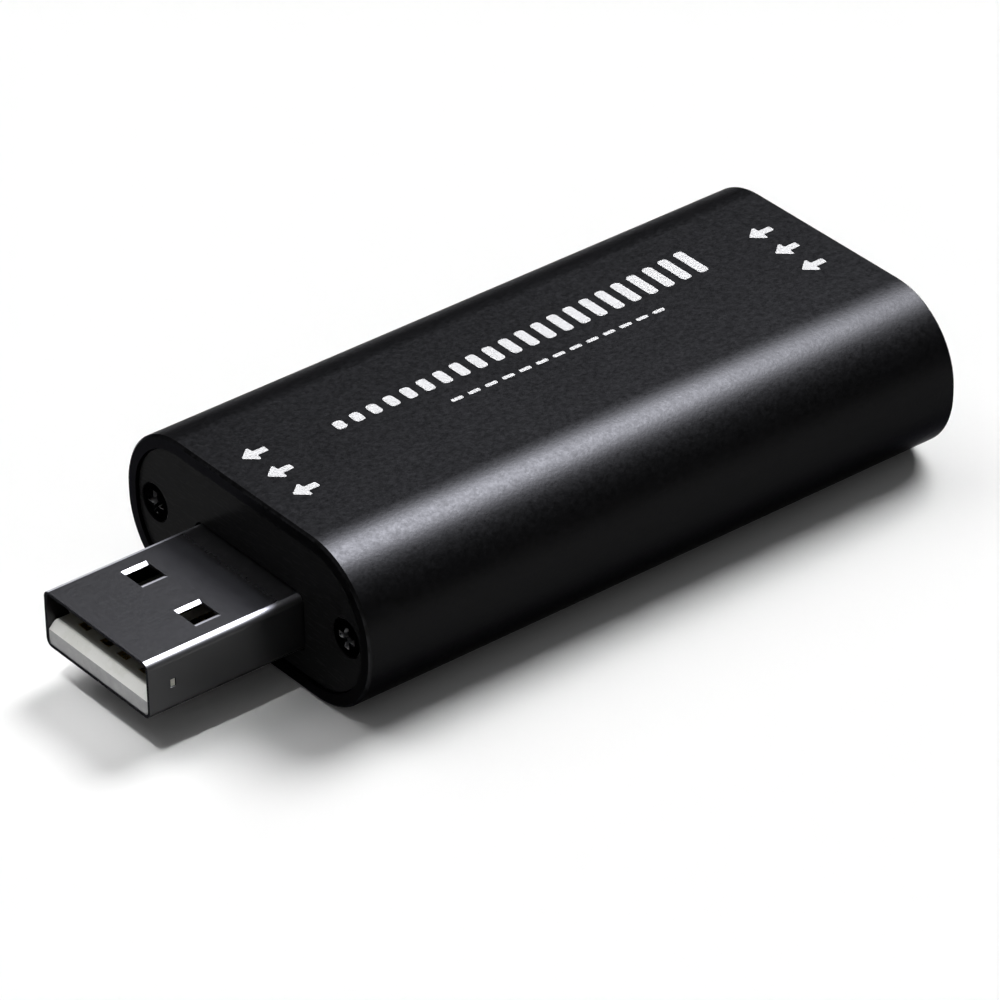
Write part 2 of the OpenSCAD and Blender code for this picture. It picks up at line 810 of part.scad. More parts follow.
module memory_chip_leads() {
    color("#c0c2c6")
        translate([memory_x, memory_y, 0])
            for (turn = [90, 270])
                rotate([0, 0, turn])
                    translate([memory_w / 2, 0, 0])
                        lead_row(memory_lead_count, memory_pitch, memory_h, small_lead_l, small_lead_w);
}

module regulator() {
    color("#1c1c1e")
        block(regulator_x, regulator_y, board_top + stand_gap, [regulator_w, regulator_l, regulator_h]);
}

// Leads towards the plug, and others at twice the distance towards the chip
module regulator_leads() {
    color("#c0c2c6")
        translate([regulator_x, regulator_y, 0]) {
            translate([regulator_w / 2, 0, 0])
                lead_row(regulator_out_count, 2 * regulator_pitch, regulator_h, small_lead_l, small_lead_w);
            rotate([0, 0, 180])
                translate([regulator_w / 2, 0, 0])
                    lead_row(regulator_in_count, regulator_pitch, regulator_h, small_lead_l, small_lead_w);
        }
}

module crystal_base() {
    color("#4a3a30")
        block(crystal_x, crystal_y, board_top, [crystal_l, crystal_w, crystal_base_h]);
}

module crystal_lid() {
    lid_l = crystal_l - 2 * crystal_lid_inset;
    lid_w = crystal_w - 2 * crystal_lid_inset;
    color("#c9c6bd")
        block(crystal_x, crystal_y, board_top + crystal_base_h, [lid_l, lid_w, crystal_lid_h]);
}

module surge_arrays() {
    color("#202022")
        for (side = [-1, 1])
            block(surge_x, surge_y + side * surge_pitch / 2, board_top, [surge_w, surge_l, surge_h]);
}

// Middle of a chip part, between its metal ends, lying along X
module chip_part(size) {
    block(0, 0, board_top, [size[0] * (1 - 2 * end_share), size[1], size[2]]);
}

// The two metal ends of a chip part lying along X
module chip_ends(size) {
    end_size = [size[0] * end_share, size[1], size[2]];
    for (side = [-1, 1])
        block(side * (size[0] - end_size[0]) / 2, 0, board_top, end_size);
}

// Runs its child at each filter bead
module at_beads() {
    for (side = [-1, 1])
        translate([bead_x, side * bead_pitch / 2, 0])
            children();
}

module filter_beads() {
    color("#3b3b3d")
        at_beads()
            chip_part([bead_l, bead_w, bead_w]);
}

module filter_bead_ends() {
    color("#c9c9c6")
        at_beads()
            chip_ends([bead_l, bead_w, bead_w]);
}

// Runs its child at each large capacitor
module at_large_capacitors() {
    for (side = [-1, 1])
        translate([large_x, large_y + side * large_pitch / 2, 0])
            children();
}

module large_capacitors() {
    color("#a98d66")
        at_large_capacitors()
            chip_part([large_l, large_w, large_w]);
}

module large_capacitor_ends() {
    color("#c9c9c6")
        at_large_capacitors()
            chip_ends([large_l, large_w, large_w]);
}

// Runs its child at each small capacitor, in a row along each side of the capture chip
module at_chip_capacitors() {
    for (side = [-1, 1], i = [0 : row_count - 1])
        translate([chip_x + pin_place(row_count, row_pitch, i), side * row_y, 0])
            rotate([0, 0, 90])
                children();
}

module chip_capacitors() {
    color("#a98d66")
        at_chip_capacitors()
            chip_part([small_l, small_w, small_w]);
}

module chip_capacitor_ends() {
    color("#c9c9c6")
        at_chip_capacitors()
            chip_ends([small_l, small_w, small_w]);
}

// Runs its child at each chip resistor, in a row between the capture chip and the socket
module at_chip_resistors() {
    for (i = [0 : resistor_count - 1])
        translate([resistor_x, pin_place(resistor_count, resistor_pitch, i), 0])
            children();
}

module chip_resistors() {
    color("#1a1a1c")
        at_chip_resistors()
            chip_part([small_l, small_w, resistor_h]);
}

module chip_resistor_ends() {
    color("#c9c9c6")
        at_chip_resistors()
            chip_ends([small_l, small_w, resistor_h]);
}

housing_sleeve();
output_end_plate();
input_end_plate();
output_end_screws();
input_end_screws();
circuit_board();
plug_shell();
plug_tongue();
plug_contacts();
socket_shell();
socket_tongue();
socket_contacts();
capture_chip();
capture_chip_leads();
memory_chip();
memory_chip_leads();
regulator();
regulator_leads();
crystal_base();
crystal_lid();
surge_arrays();
filter_beads();
filter_bead_ends();
large_capacitors();
large_capacitor_ends();
chip_capacitors();
chip_capacitor_ends();
chip_resistors();
chip_resistor_ends();
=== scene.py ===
"""Dresses a video capture stick: finishes for every piece, soft edges, printed marks, studio and camera.

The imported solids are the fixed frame. Lengths are in metres, in the same frame as the solids: X runs along
the sleeve from the plug to the socket, Z is up, and the origin is the middle of the sleeve's underside.
"""

import logging
import math
from dataclasses import dataclass
from enum import Enum
from statistics import NormalDist
from typing import Dict, List, Optional, Sequence, Tuple, Union

import bpy
from mathutils import Matrix, Vector


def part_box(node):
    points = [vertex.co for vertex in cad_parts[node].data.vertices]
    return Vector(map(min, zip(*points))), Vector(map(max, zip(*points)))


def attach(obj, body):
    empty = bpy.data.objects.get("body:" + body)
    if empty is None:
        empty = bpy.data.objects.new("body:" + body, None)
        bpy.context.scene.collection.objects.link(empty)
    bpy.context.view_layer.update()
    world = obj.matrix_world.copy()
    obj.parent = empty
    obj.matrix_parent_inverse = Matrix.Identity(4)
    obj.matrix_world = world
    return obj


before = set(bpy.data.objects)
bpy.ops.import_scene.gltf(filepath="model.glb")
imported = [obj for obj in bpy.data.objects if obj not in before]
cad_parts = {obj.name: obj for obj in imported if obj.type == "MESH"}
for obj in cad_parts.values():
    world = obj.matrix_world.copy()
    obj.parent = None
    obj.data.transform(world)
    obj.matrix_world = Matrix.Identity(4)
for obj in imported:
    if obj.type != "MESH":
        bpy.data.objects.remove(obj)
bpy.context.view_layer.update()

LOG = logging.getLogger("capture_stick")
BODY = "root"
MM = 0.001
MICRON = 0.000001

# Soft noise and grains lie round this middle, and soft noise about normally, with this spread.
NOISE_MIDDLE = 0.5
NOISE_SPREAD = 0.1
# Half the step in noise over which a spot's edge fades.
SPOT_FADE = 0.05

Colour = Tuple[float, float, float]
Triple = Tuple[float, float, float]
Point = Tuple[float, float]
Span = Tuple[float, float]
Level = Union[float, "Signal"]
Tint = Union[Colour, "Signal"]
Settings = Dict[str, object]
Sockets = Dict[Union[str, int], object]


class Axis(Enum):
    """A direction of the shared frame, with its place in a vector."""

    ALONG = 0
    ACROSS = 1
    UP = 2


class End(Enum):
    """An end of the sleeve, as the names of its pieces begin."""

    OUTPUT = "output"
    INPUT = "input"


class LampRole(Enum):
    """What a lamp is for."""

    KEY = "key"
    FILL = "fill"
    SHEEN = "sheen"
    ACCENT = "accent"


class Graph:
    """A tree of nodes: a material's, the surroundings' or a modifier's."""

    def __init__(self, tree: bpy.types.NodeTree) -> None:
        """Starts from an empty tree."""
        self.tree = tree
        self.tree.nodes.clear()

    def node(self, kind: str, settings: Settings, sockets: Sockets) -> bpy.types.Node:
        """Adds a node.

        Args:
            kind: The node's type.
            settings: The node's own properties, which are set first.
            sockets: The inputs, by name or number, with a value, a signal or a socket for each.

        Returns:
            The new node.
        """
        node = self.tree.nodes.new(kind)
        for name, value in settings.items():
            setattr(node, name, value)
        for name, value in sockets.items():
            self.feed(node.inputs[name], value)
        return node

    def feed(self, socket: bpy.types.NodeSocket, value: object) -> None:
        """Links a signal or socket to an input, or sets the input to a plain value.

        Args:
            socket: The input.
            value: A signal, a socket, a number, a colour, a vector or a name.
        """
        if isinstance(value, Signal):
            self.tree.links.new(value.socket, socket)
        elif isinstance(value, bpy.types.NodeSocket):
            self.tree.links.new(value, socket)
        elif socket.type == "RGBA":
            socket.default_value = (*value, 1.0)
        else:
            socket.default_value = value

    def part(self, vector: bpy.types.NodeSocket, axis: Axis) -> "Signal":
        """Gives a vector's part along one axis."""
        return Signal(self, self.node("ShaderNodeSeparateXYZ", {}, {0: vector}).outputs[axis.value])


class Signal:
    """A value that changes from place to place: one socket of a tree, with the arithmetic of finishes."""

    def __init__(self, graph: Graph, socket: bpy.types.NodeSocket) -> None:
        """Wraps a socket of this tree."""
        self.graph = graph
        self.socket = socket

    def math(self, operation: str, first: Level, second: Level) -> "Signal":
        """Adds a Math node.

        Args:
            operation: The node's operation.
            first: Its first value.
            second: Its second value.

        Returns:
            The node's result.
        """
        node = self.graph.node("ShaderNodeMath", {"operation": operation}, {0: first, 1: second})
        return Signal(self.graph, node.outputs[0])

    def __add__(self, other: Level) -> "Signal":
        """Adds a number or another signal."""
        return self.math("ADD", self, other)

    def __radd__(self, other: Level) -> "Signal":
        """Adds to a number."""
        return self.math("ADD", other, self)

    def __sub__(self, other: Level) -> "Signal":
        """Takes away a number or another signal."""
        return self.math("SUBTRACT", self, other)

    def __rsub__(self, other: Level) -> "Signal":
        """Takes the signal from a number."""
        return self.math("SUBTRACT", other, self)

    def __mul__(self, other: Level) -> "Signal":
        """Multiplies by a number or another signal."""
        return self.math("MULTIPLY", self, other)

    def __rmul__(self, other: Level) -> "Signal":
        """Multiplies a number."""
        return self.math("MULTIPLY", other, self)

    def __abs__(self) -> "Signal":
        """Takes the value without its sign."""
        return self.math("ABSOLUTE", self, 0.0)

    def swing(self) -> "Signal":
        """Gives how far a value from 0 to 1 lies from its middle."""
        return self - NOISE_MIDDLE

    def sine(self) -> "Signal":
        """Takes the sine of an angle in radians."""
        return self.math("SINE", self, 0.0)

    def rise(self, start: float, end: float) -> "Signal":
        """Turns the value into a smooth step.

        Args:
            start: The value at which the step is 0.
            end: The value at which the step is 1.

        Returns:
            The step, from 0 to 1. With end below start it falls instead.
        """
        bottom, top = (0.0, 1.0) if start < end else (1.0, 0.0)
        node = self.graph.node("ShaderNodeMapRange", {"interpolation_type": "SMOOTHSTEP"}, {
            "Value": self, "From Min": min(start, end), "From Max": max(start, end),
            "To Min": bottom, "To Max": top,
        })
        return Signal(self.graph, node.outputs["Result"])


class Shader(Graph):
    """One material's nodes, built from a finish."""

    def __init__(self, name: str) -> None:
        """Starts an empty material of this name."""
        self.material = bpy.data.materials.new(name)
        self.material.use_nodes = True
        super().__init__(self.material.node_tree)
        self.output = self.node("ShaderNodeOutputMaterial", {}, {})

    def place(self) -> bpy.types.NodeSocket:
        """Gives the place on the object, in metres."""
        return self.node("ShaderNodeTexCoord", {}, {}).outputs["Object"]

    def at(self, axis: Axis) -> Signal:
        """Gives the place along one axis, in metres."""
        return self.part(self.place(), axis)

    def facing(self, axis: Axis) -> Signal:
        """Gives how far the surface faces along one axis, from -1 to 1."""
        return self.part(self.node("ShaderNodeNewGeometry", {}, {}).outputs["Normal"], axis)

    def noise(self, grain: float, detail: float = 2.0, stretch: Triple = (1.0, 1.0, 1.0)) -> Signal:
        """Adds soft noise.

        Args:
            grain: Size of the largest features, in metres.
            detail: Number of finer layers.
            stretch: Factor on the features' length along each axis.

        Returns:
            The noise, about 0 to 1 around 0.5.
        """
        squeeze = tuple(1 / factor for factor in stretch)
        where = self.node("ShaderNodeVectorMath", {"operation": "MULTIPLY"}, {0: self.place(), 1: squeeze})
        sockets = {"Vector": where.outputs[0], "Scale": 1 / grain, "Detail": detail}
        return Signal(self, self.node("ShaderNodeTexNoise", {"noise_dimensions": "3D"}, sockets).outputs[0])

    def spots(
        self, grain: float, share: float, detail: float = 2.0, stretch: Triple = (1.0, 1.0, 1.0),
    ) -> Signal:
        """Adds spots with soft edges.

        Args:
            grain: Size of the noise that they come from, in metres.
            share: Share of the surface that they cover.
            detail: Number of finer layers in their outlines.
            stretch: Factor on their length along each axis.

        Returns:
            The spots, 1 inside and 0 outside.
        """
        edge = NormalDist(NOISE_MIDDLE, NOISE_SPREAD).inv_cdf(1 - share)
        return self.noise(grain, detail, stretch).rise(edge - SPOT_FADE, edge + SPOT_FADE)

    def grains(self, grain: float) -> Signal:
        """Adds grains that each have a level of their own.

        Args:
            grain: Distance between the grains' middles, in metres.

        Returns:
            The level of each grain, from 0 to 1.
        """
        cells = self.node("ShaderNodeTexVoronoi", {}, {"Vector": self.place(), "Scale": 1 / grain})
        return self.part(cells.outputs["Color"], Axis.ALONG)

    def blend(self, share: Level, first: Tint, second: Tint) -> Signal:
        """Blends two colours.

        Args:
            share: Share of the second colour, from 0 to 1.
            first: The first colour.
            second: The second colour.

        Returns:
            The blended colour.
        """
        node = self.node("ShaderNodeMix", {"data_type": "RGBA"}, {"Factor": share})
        colours = [socket for socket in node.inputs if socket.type == "RGBA"]
        self.feed(colours[0], first)
        self.feed(colours[1], second)
        return Signal(self, next(socket for socket in node.outputs if socket.type == "RGBA"))

    def bump(self, height: Signal, depth: float) -> Signal:
        """Turns a height into a bumped normal.

        Args:
            height: The height, from 0 to 1.
            depth: The depth of a height of 1, in metres.

        Returns:
            The normal.
        """
        node = self.node("ShaderNodeBump", {}, {"Strength": 1.0, "Distance": depth, "Height": height})
        return Signal(self, node.outputs["Normal"])

    def surface(self, sockets: Sockets) -> None:
        """Ends the material with one Principled shader that has these inputs."""
        self.finish(self.node("ShaderNodeBsdfPrincipled", {}, sockets))

    def finish(self, node: bpy.types.Node) -> None:
        """Ends the material with a shader's node."""
        self.feed(self.output.inputs["Surface"], node.outputs[0])


@dataclass(frozen=True)
class Finish:
    """A finish that a piece can wear.

    Attributes:
        name: Name of its material.
    """

    name: str

    def material(self) -> bpy.types.Material:
        """Makes the material."""
        shader = Shader(self.name)
        self.paint(shader)
        return shader.material

    def paint(self, shader: Shader) -> None:
        """Builds the finish from nodes, in each kind of finish its own way."""
        raise NotImplementedError


@dataclass(frozen=True)
class BlastedAnodising(Finish):
    """Black anodised aluminium, blasted with fine beads before it was dyed.

    Attributes:
        half_length: Half the sleeve's length, where its end edges are.
        black: Colour of the dyed metal.
        pale: Colour where the dye is thin.
        worn: Colour where the dye is rubbed thin along an edge.
        glance: Tint of the dyed metal seen at a glance.
        dimple: Size of the relief that the beads leave.
        dimple_depth: Depth of that relief.
        clump: Size of the clumps of deeper and shallower dimples.
        clump_rough: Change of roughness over the clumps.
        clump_share: Share of the clumps in the dye's changes, where the rest is the drift's.
        bead: Distance between the marks of single beads.
        bead_rough: Change of roughness from bead mark to bead mark.
        drift: Size of the slow changes in the dye.
        drift_rough: Change of roughness over them.
        rub: Width of the rubbed edge at each end.
        rub_patch: Size of the patches where it is rubbed.
        rub_share: Share of the edge that they cover.
        rub_level: Share of the worn colour in them.
        end_turn: Facing along the sleeve over which its skin turns into its end faces.
        rough: Roughness of the skin.
    """

    half_length: float
    black: Colour = (0.0084, 0.0084, 0.0086)
    pale: Colour = (0.0103, 0.0103, 0.0106)
    worn: Colour = (0.024, 0.024, 0.026)
    glance: Colour = (0.45, 0.45, 0.46)
    dimple: float = 0.26 * MM
    dimple_depth: float = 8 * MICRON
    clump: float = 0.42 * MM
    clump_rough: float = 0.16
    clump_share: float = 0.6
    bead: float = 0.16 * MM
    bead_rough: float = 0.05
    drift: float = 9 * MM
    drift_rough: float = 0.02
    rub: float = 0.22 * MM
    rub_patch: float = 1.1 * MM
    rub_share: float = 0.6
    rub_level: float = 0.7
    end_turn: Span = (0.95, 0.85)
    rough: float = 0.38

    def paint(self, shader: Shader) -> None:
        """Blasted grain over a slow drift of the dye, with paler edges at the sleeve's ends."""
        relief = shader.noise(self.dimple)
        clumps = shader.noise(self.clump)
        beads = shader.grains(self.bead)
        drift = shader.noise(self.drift)
        near_end = abs(shader.at(Axis.ALONG)).rise(self.half_length - self.rub, self.half_length)
        outward = abs(shader.facing(Axis.ALONG)).rise(*self.end_turn)
        rubbed = near_end * outward * shader.spots(self.rub_patch, self.rub_share, detail=3.0)
        dye = self.clump_share * clumps + (1 - self.clump_share) * drift
        dyed = shader.blend(dye, self.black, self.pale)
        shader.surface({
            "Base Color": shader.blend(self.rub_level * rubbed, dyed, self.worn),
            "Metallic": 1.0,
            "Specular Tint": self.glance,
            "Roughness": (
                self.rough + self.clump_rough * clumps.swing() + self.bead_rough * beads.swing()
                + self.drift_rough * drift
            ),
            "Normal": shader.bump(relief, self.dimple_depth),
        })


@dataclass(frozen=True)
class GlossBlack(Finish):
    """Smooth black plate, with the faint waviness and hairline scuffs of a handled gloss.

    Attributes:
        black: Its colour.
        dust: Colour of the dust on it.
        dust_level: Share of that colour in a speck.
        speck: Size of the dust's specks.
        speck_share: Share of the plate that they cover.
        scuff: Size of the scuffs.
        scuff_share: Share of the plate that they cover.
        scuff_stretch: Factor on the scuffs' length along each axis.
        scuff_rough: Roughness that they add.
        peel: Size of the fine orange peel.
        peel_level: Height of the peel, as a share of the waviness.
        wave: Size of its waviness.
        wave_depth: Depth of its waviness.
        wave_rough: Change of roughness over it.
        gloss: Roughness of the clean gloss.
        specular: How strongly it mirrors.
    """

    black: Colour = (0.008, 0.008, 0.0083)
    dust: Colour = (0.0115, 0.0115, 0.012)
    dust_level: float = 0.6
    speck: float = 0.16 * MM
    speck_share: float = 0.03
    scuff: float = 0.4 * MM
    scuff_share: float = 0.15
    scuff_stretch: Triple = (1.0, 3.0, 0.4)
    scuff_rough: float = 0.08
    peel: float = 0.32 * MM
    peel_level: float = 0.25
    wave: float = 1.6 * MM
    wave_depth: float = 2 * MICRON
    wave_rough: float = 0.06
    gloss: float = 0.25
    specular: float = 0.01

    def paint(self, shader: Shader) -> None:
        """A gloss that drifts a little, with dust specks, scuffs and a fine orange peel."""
        wave = shader.noise(self.wave)
        peel = shader.noise(self.peel)
        dust = shader.spots(self.speck, self.speck_share)
        scuffs = shader.spots(self.scuff, self.scuff_share, stretch=self.scuff_stretch)
        shader.surface({
            "Base Color": shader.blend(self.dust_level * dust, self.black, self.dust),
            "Roughness": self.gloss + self.wave_rough * wave.swing() + self.scuff_rough * scuffs,
            "Specular IOR Level": self.specular,
            "Normal": shader.bump(wave + self.peel_level * peel, self.wave_depth),
        })


@dataclass(frozen=True)
class PlatedSheet(Finish):
    """Folded sheet steel with a bright plate: smooth flats, burnished bends and sides, dark cut edges, and
    painted shade on the faces that look down or sideways.

    Attributes:
        stain_and_shade_start: Place along the stick where the stains, and the painted shade with them,
            begin.
        stain_and_shade_end: Place along the stick where they are full.
        bright: Colour of the clean plate.
        stain_and_shade: Colour of the stains, which on the plug also stand for painted shade toward the
            sleeve's end.
        cut: Colour of the sheared edges at the sheet's ends.
        painted_shade: Colour of the painted shade on the faces that look down or sideways.
        glance: Tint of the plate seen at a glance.
        smooth: Roughness of the flats.
        burnished: Roughness of the bends and rolled rims.
        drawn: Roughness of the upright sides.
        under_rough: Roughness that faces below add.
        cut_rough: Roughness that the sheared edges add.
        haze: Roughness that handling adds where the stains are full.
        haze_span: Levels of handling over which that haze comes.
        bend_turn: Facing across the stick over which a flat turns into a bend.
        side_turn: Facing across the stick over which a bend turns into a side.
        shade_turn: Facing across the stick over which the painted shade comes in.
        under_turn: Facing up over which a face counts as one below.
        cut_turn: Facing along the stick over which a face counts as sheared.
        roll: Width of the rolling lines.
        roll_stretch: Factor on their length along each axis.
        roll_rough: Change of roughness over them.
        roll_depth: Depth of the rolling lines.
        cloud: Size of the stains.
        mottle: Size of the mottling.
        mottle_rough: Change of roughness over it.
        mottle_level: Height of the mottling, as a share of the rolling lines'.
    """

    stain_and_shade_start: float
    stain_and_shade_end: float
    bright: Colour = (0.33, 0.33, 0.34)
    stain_and_shade: Colour = (0.18, 0.18, 0.195)
    cut: Colour = (0.035, 0.035, 0.038)
    painted_shade: Colour = (0.055, 0.055, 0.056)
    glance: Colour = (0.14, 0.14, 0.145)
    smooth: float = 0.19
    burnished: float = 0.52
    drawn: float = 0.3
    under_rough: float = 0.25
    cut_rough: float = 0.2
    haze: float = 0.1
    haze_span: Span = (0.6, 1.0)
    bend_turn: Span = (0.03, 0.14)
    side_turn: Span = (0.9, 1.0)
    shade_turn: Span = (0.45, 0.85)
    under_turn: Span = (-0.8, -0.95)
    cut_turn: Span = (0.75, 0.95)
    roll: float = 0.12 * MM
    roll_stretch: Triple = (14.0, 1.0, 1.0)
    roll_rough: float = 0.03
    roll_depth: float = 0.25 * MICRON
    cloud: float = 1.1 * MM
    mottle: float = 0.275 * MM
    mottle_rough: float = 0.04
    mottle_level: float = 0.5

    def paint(self, shader: Shader) -> None:
        """Faint rolling lines, stains toward one end that on the plug are partly painted shade, burnished
        bends and sides, painted shade on the faces that look down or sideways, and dark sheared ends.
        """
        lines = shader.noise(self.roll, stretch=self.roll_stretch)
        mottle = shader.noise(self.mottle)
        # The stains ramp up toward one end; on the plug that end is the sleeve's, and the darkening there is
        # partly painted shade of the sleeve.
        handled = shader.at(Axis.ALONG).rise(self.stain_and_shade_start, self.stain_and_shade_end)
        stain_and_shade_share = handled * (1 + shader.noise(self.cloud, detail=4.0).swing())
        sideways = abs(shader.facing(Axis.ACROSS))
        bend = sideways.rise(*self.bend_turn)
        side = sideways.rise(*self.side_turn)
        sheared = abs(shader.facing(Axis.ALONG)).rise(*self.cut_turn)
        under = shader.facing(Axis.UP).rise(*self.under_turn)
        # Painted shade: faces that look down or sideways get a dark colour that stands in for the shade they
        # sit in.
        shade_share = under + sideways.rise(*self.shade_turn)
        plate = shader.blend(shade_share, shader.blend(stain_and_shade_share, self.bright, self.stain_and_shade), self.painted_shade)
        shader.surface({
            "Base Color": shader.blend(sheared, plate, self.cut),
            "Metallic": 1.0,
            "Specular Tint": self.glance,
            "Roughness": (
                self.smooth + (self.burnished - self.smooth) * bend + (self.drawn - self.burnished) * side
                + self.under_rough * under + self.cut_rough * sheared
                + self.haze * handled.rise(*self.haze_span)
                + self.roll_rough * lines.swing() + self.mottle_rough * mottle.swing()
            ),
            "Normal": shader.bump(lines + self.mottle_level * mottle, self.roll_depth),
        })


@dataclass(frozen=True)
class PlainMetal(Finish):
    """A small metal piece with turned, drawn or plated grain.

    Attributes:
        bright: Colour of the clean metal.
        tarnished: Colour of its tarnish.
        smooth: Roughness of the clean metal.
        grain: Size of its cloudy patches.
        tarnish_share: Share of the metal that they cover.
        tarnish_rough: Roughness that they add.
        fineness: How many times finer than the patches its fine grain is.
        fine_rough: Roughness that the fine grain adds.
        depth: Depth of its fine grain.
    """

    bright: Colour = (0.62, 0.62, 0.61)
    tarnished: Colour = (0.45, 0.45, 0.45)
    smooth: float = 0.25
    grain: float = 0.5 * MM
    tarnish_share: float = 0.45
    tarnish_rough: float = 0.15
    fineness: float = 6.0
    fine_rough: float = 0.08
    depth: float = 1.5 * MICRON

    def paint(self, shader: Shader) -> None:
        """Cloudy tarnish with a fine grain."""
        fine = shader.noise(self.grain / self.fineness)
        tarnish = shader.spots(self.grain, self.tarnish_share, detail=3.0)
        shader.surface({
            "Base Color": shader.blend(tarnish, self.bright, self.tarnished),
            "Metallic": 1.0,
            "Roughness": self.smooth + self.tarnish_rough * tarnish + self.fine_rough * fine,
            "Normal": shader.bump(fine, self.depth),
        })


@dataclass(frozen=True)
class BlackenedSteel(Finish):
    """Blackened screws, whose rims and recess edges are rubbed bright.

    Attributes:
        black: Colour of the blackened faces.
        rubbed: Colour of the rubbed edges.
        glance: Tint of the steel seen at a glance.
        smooth: Roughness of the blackened faces.
        brushed: Roughness of the rubbed edges.
        rub_patch: Size of the rubbed patches.
        rub_share: Share of the edges that they cover.
        rim_turn: Facing along the stick over which a face turns into a slanted edge.
        wall_turn: Facing along the stick over which a wall turns into a slanted edge.
        turning: Size of the marks of turning.
        turning_rough: Change of roughness over them.
        depth: Depth of those marks.
    """

    black: Colour = (0.009, 0.009, 0.0095)
    rubbed: Colour = (0.36, 0.36, 0.37)
    glance: Colour = (0.25, 0.25, 0.26)
    smooth: float = 0.24
    brushed: float = 0.42
    rub_patch: float = 0.54 * MM
    rub_share: float = 0.7
    rim_turn: Span = (0.97, 0.80)
    wall_turn: Span = (0.05, 0.25)
    turning: float = 0.18 * MM
    turning_rough: float = 0.12
    depth: float = 2 * MICRON

    def paint(self, shader: Shader) -> None:
        """Black faces with turning marks, and bright slanted edges."""
        marks = shader.noise(self.turning)
        outward = abs(shader.facing(Axis.ALONG))
        slanted = outward.rise(*self.rim_turn) * outward.rise(*self.wall_turn)
        bright = slanted * shader.spots(self.rub_patch, self.rub_share)
        shader.surface({
            "Base Color": shader.blend(bright, self.black, self.rubbed),
            "Metallic": 1.0,
            "Specular Tint": self.glance,
            "Roughness": (
                self.smooth + (self.brushed - self.smooth) * bright + self.turning_rough * marks.swing()
            ),
            "Normal": shader.bump(marks, self.depth),
        })


@dataclass(frozen=True)
class Moulding(Finish):
    """Moulded plastic, resin or ceramic with a matt skin.

    Attributes:
        colour: Its colour.
        shade: Its darker or yellower patches.
        rough: Its roughness.
        grain: Size of the skin's texture.
        depth: Depth of the skin's texture.
        specular: How strongly it mirrors.
        patch_share: Share of the surface that the patches cover.
        patch_scale: How many times the texture's size they are.
        patch_level: Share of the shade in a patch.
        pit_share: Share of the surface that the pits cover.
        pit_scale: How many times the texture's size they are.
        pit_level: Share of the shade in a pit.
        pit_depth: Depth of a pit, as a share of the texture's depth.
        skin_rough: Roughness that the skin's texture adds.
    """

    colour: Colour
    shade: Colour
    rough: float = 0.5
    grain: float = 0.12 * MM
    depth: float = 3 * MICRON
    specular: float = 0.4
    patch_share: float = 0.35
    patch_scale: float = 12.0
    patch_level: float = 0.6
    pit_share: float = 0.06
    pit_scale: float = 1.7
    pit_level: float = 0.4
    pit_depth: float = 0.6
    skin_rough: float = 0.12

    def paint(self, shader: Shader) -> None:
        """Patchy colour under a fine skin with a few pits."""
        patches = shader.spots(self.grain * self.patch_scale, self.patch_share, detail=3.0)
        skin = shader.noise(self.grain)
        pits = shader.spots(self.grain * self.pit_scale, self.pit_share)
        shader.surface({
            "Base Color": self.skin_colour(shader, self.patch_level * patches + self.pit_level * pits),
            "Roughness": self.rough + self.skin_rough * skin,
            "Specular IOR Level": self.specular,
            "Normal": shader.bump(skin - self.pit_depth * pits, self.depth),
        })

    def skin_colour(self, shader: Shader, share: Signal) -> Signal:
        """Shades the colour by a share from place to place."""
        return shader.blend(share, self.colour, self.shade)


@dataclass(frozen=True, kw_only=True)
class ShadedMoulding(Moulding):
    """Moulding with painted shade: grey on the faces that look along the stick, and darker farther into the
    plug's mouth.

    Attributes:
        mouth_shade_start: Place along the stick where the painted shade inside the mouth begins.
        mouth_shade_end: Place along the stick where it is full.
        front_shade: Colour of the painted shade on the front.
        mouth_shade: Colour of the painted shade inside the mouth.
        cover: Share of the painted shade where it is full.
        cover_change: Change of that share from place to place.
        cover_scale: How many times the texture's size those places are.
        front_turn: Facing along the stick over which a face counts as the front.
    """

    mouth_shade_start: float
    mouth_shade_end: float
    front_shade: Colour = (0.22, 0.22, 0.225)
    mouth_shade: Colour = (0.30, 0.29, 0.24)
    cover: float = 0.85
    cover_change: float = 0.3
    cover_scale: float = 5.0
    front_turn: Span = (0.8, 0.95)

    def skin_colour(self, shader: Shader, share: Signal) -> Signal:
        """Paints shade grey on the faces that look along the stick, and darker on those farther into the
        mouth.
        """
        # Painted shade: the faces that look along the stick, the tongue's front, are greyed as if in shade.
        front = abs(shader.facing(Axis.ALONG)).rise(*self.front_turn)
        change = shader.noise(self.grain * self.cover_scale, detail=3.0).swing()
        patches = self.cover + self.cover_change * change
        # Painted shade: the tongue darkens farther into the mouth, standing in for the shade inside it.
        mouth_shade_share = shader.at(Axis.ALONG).rise(self.mouth_shade_start, self.mouth_shade_end)
        skin = shader.blend(mouth_shade_share * patches, super().skin_colour(shader, share), self.mouth_shade)
        return shader.blend(front * patches, skin, self.front_shade)


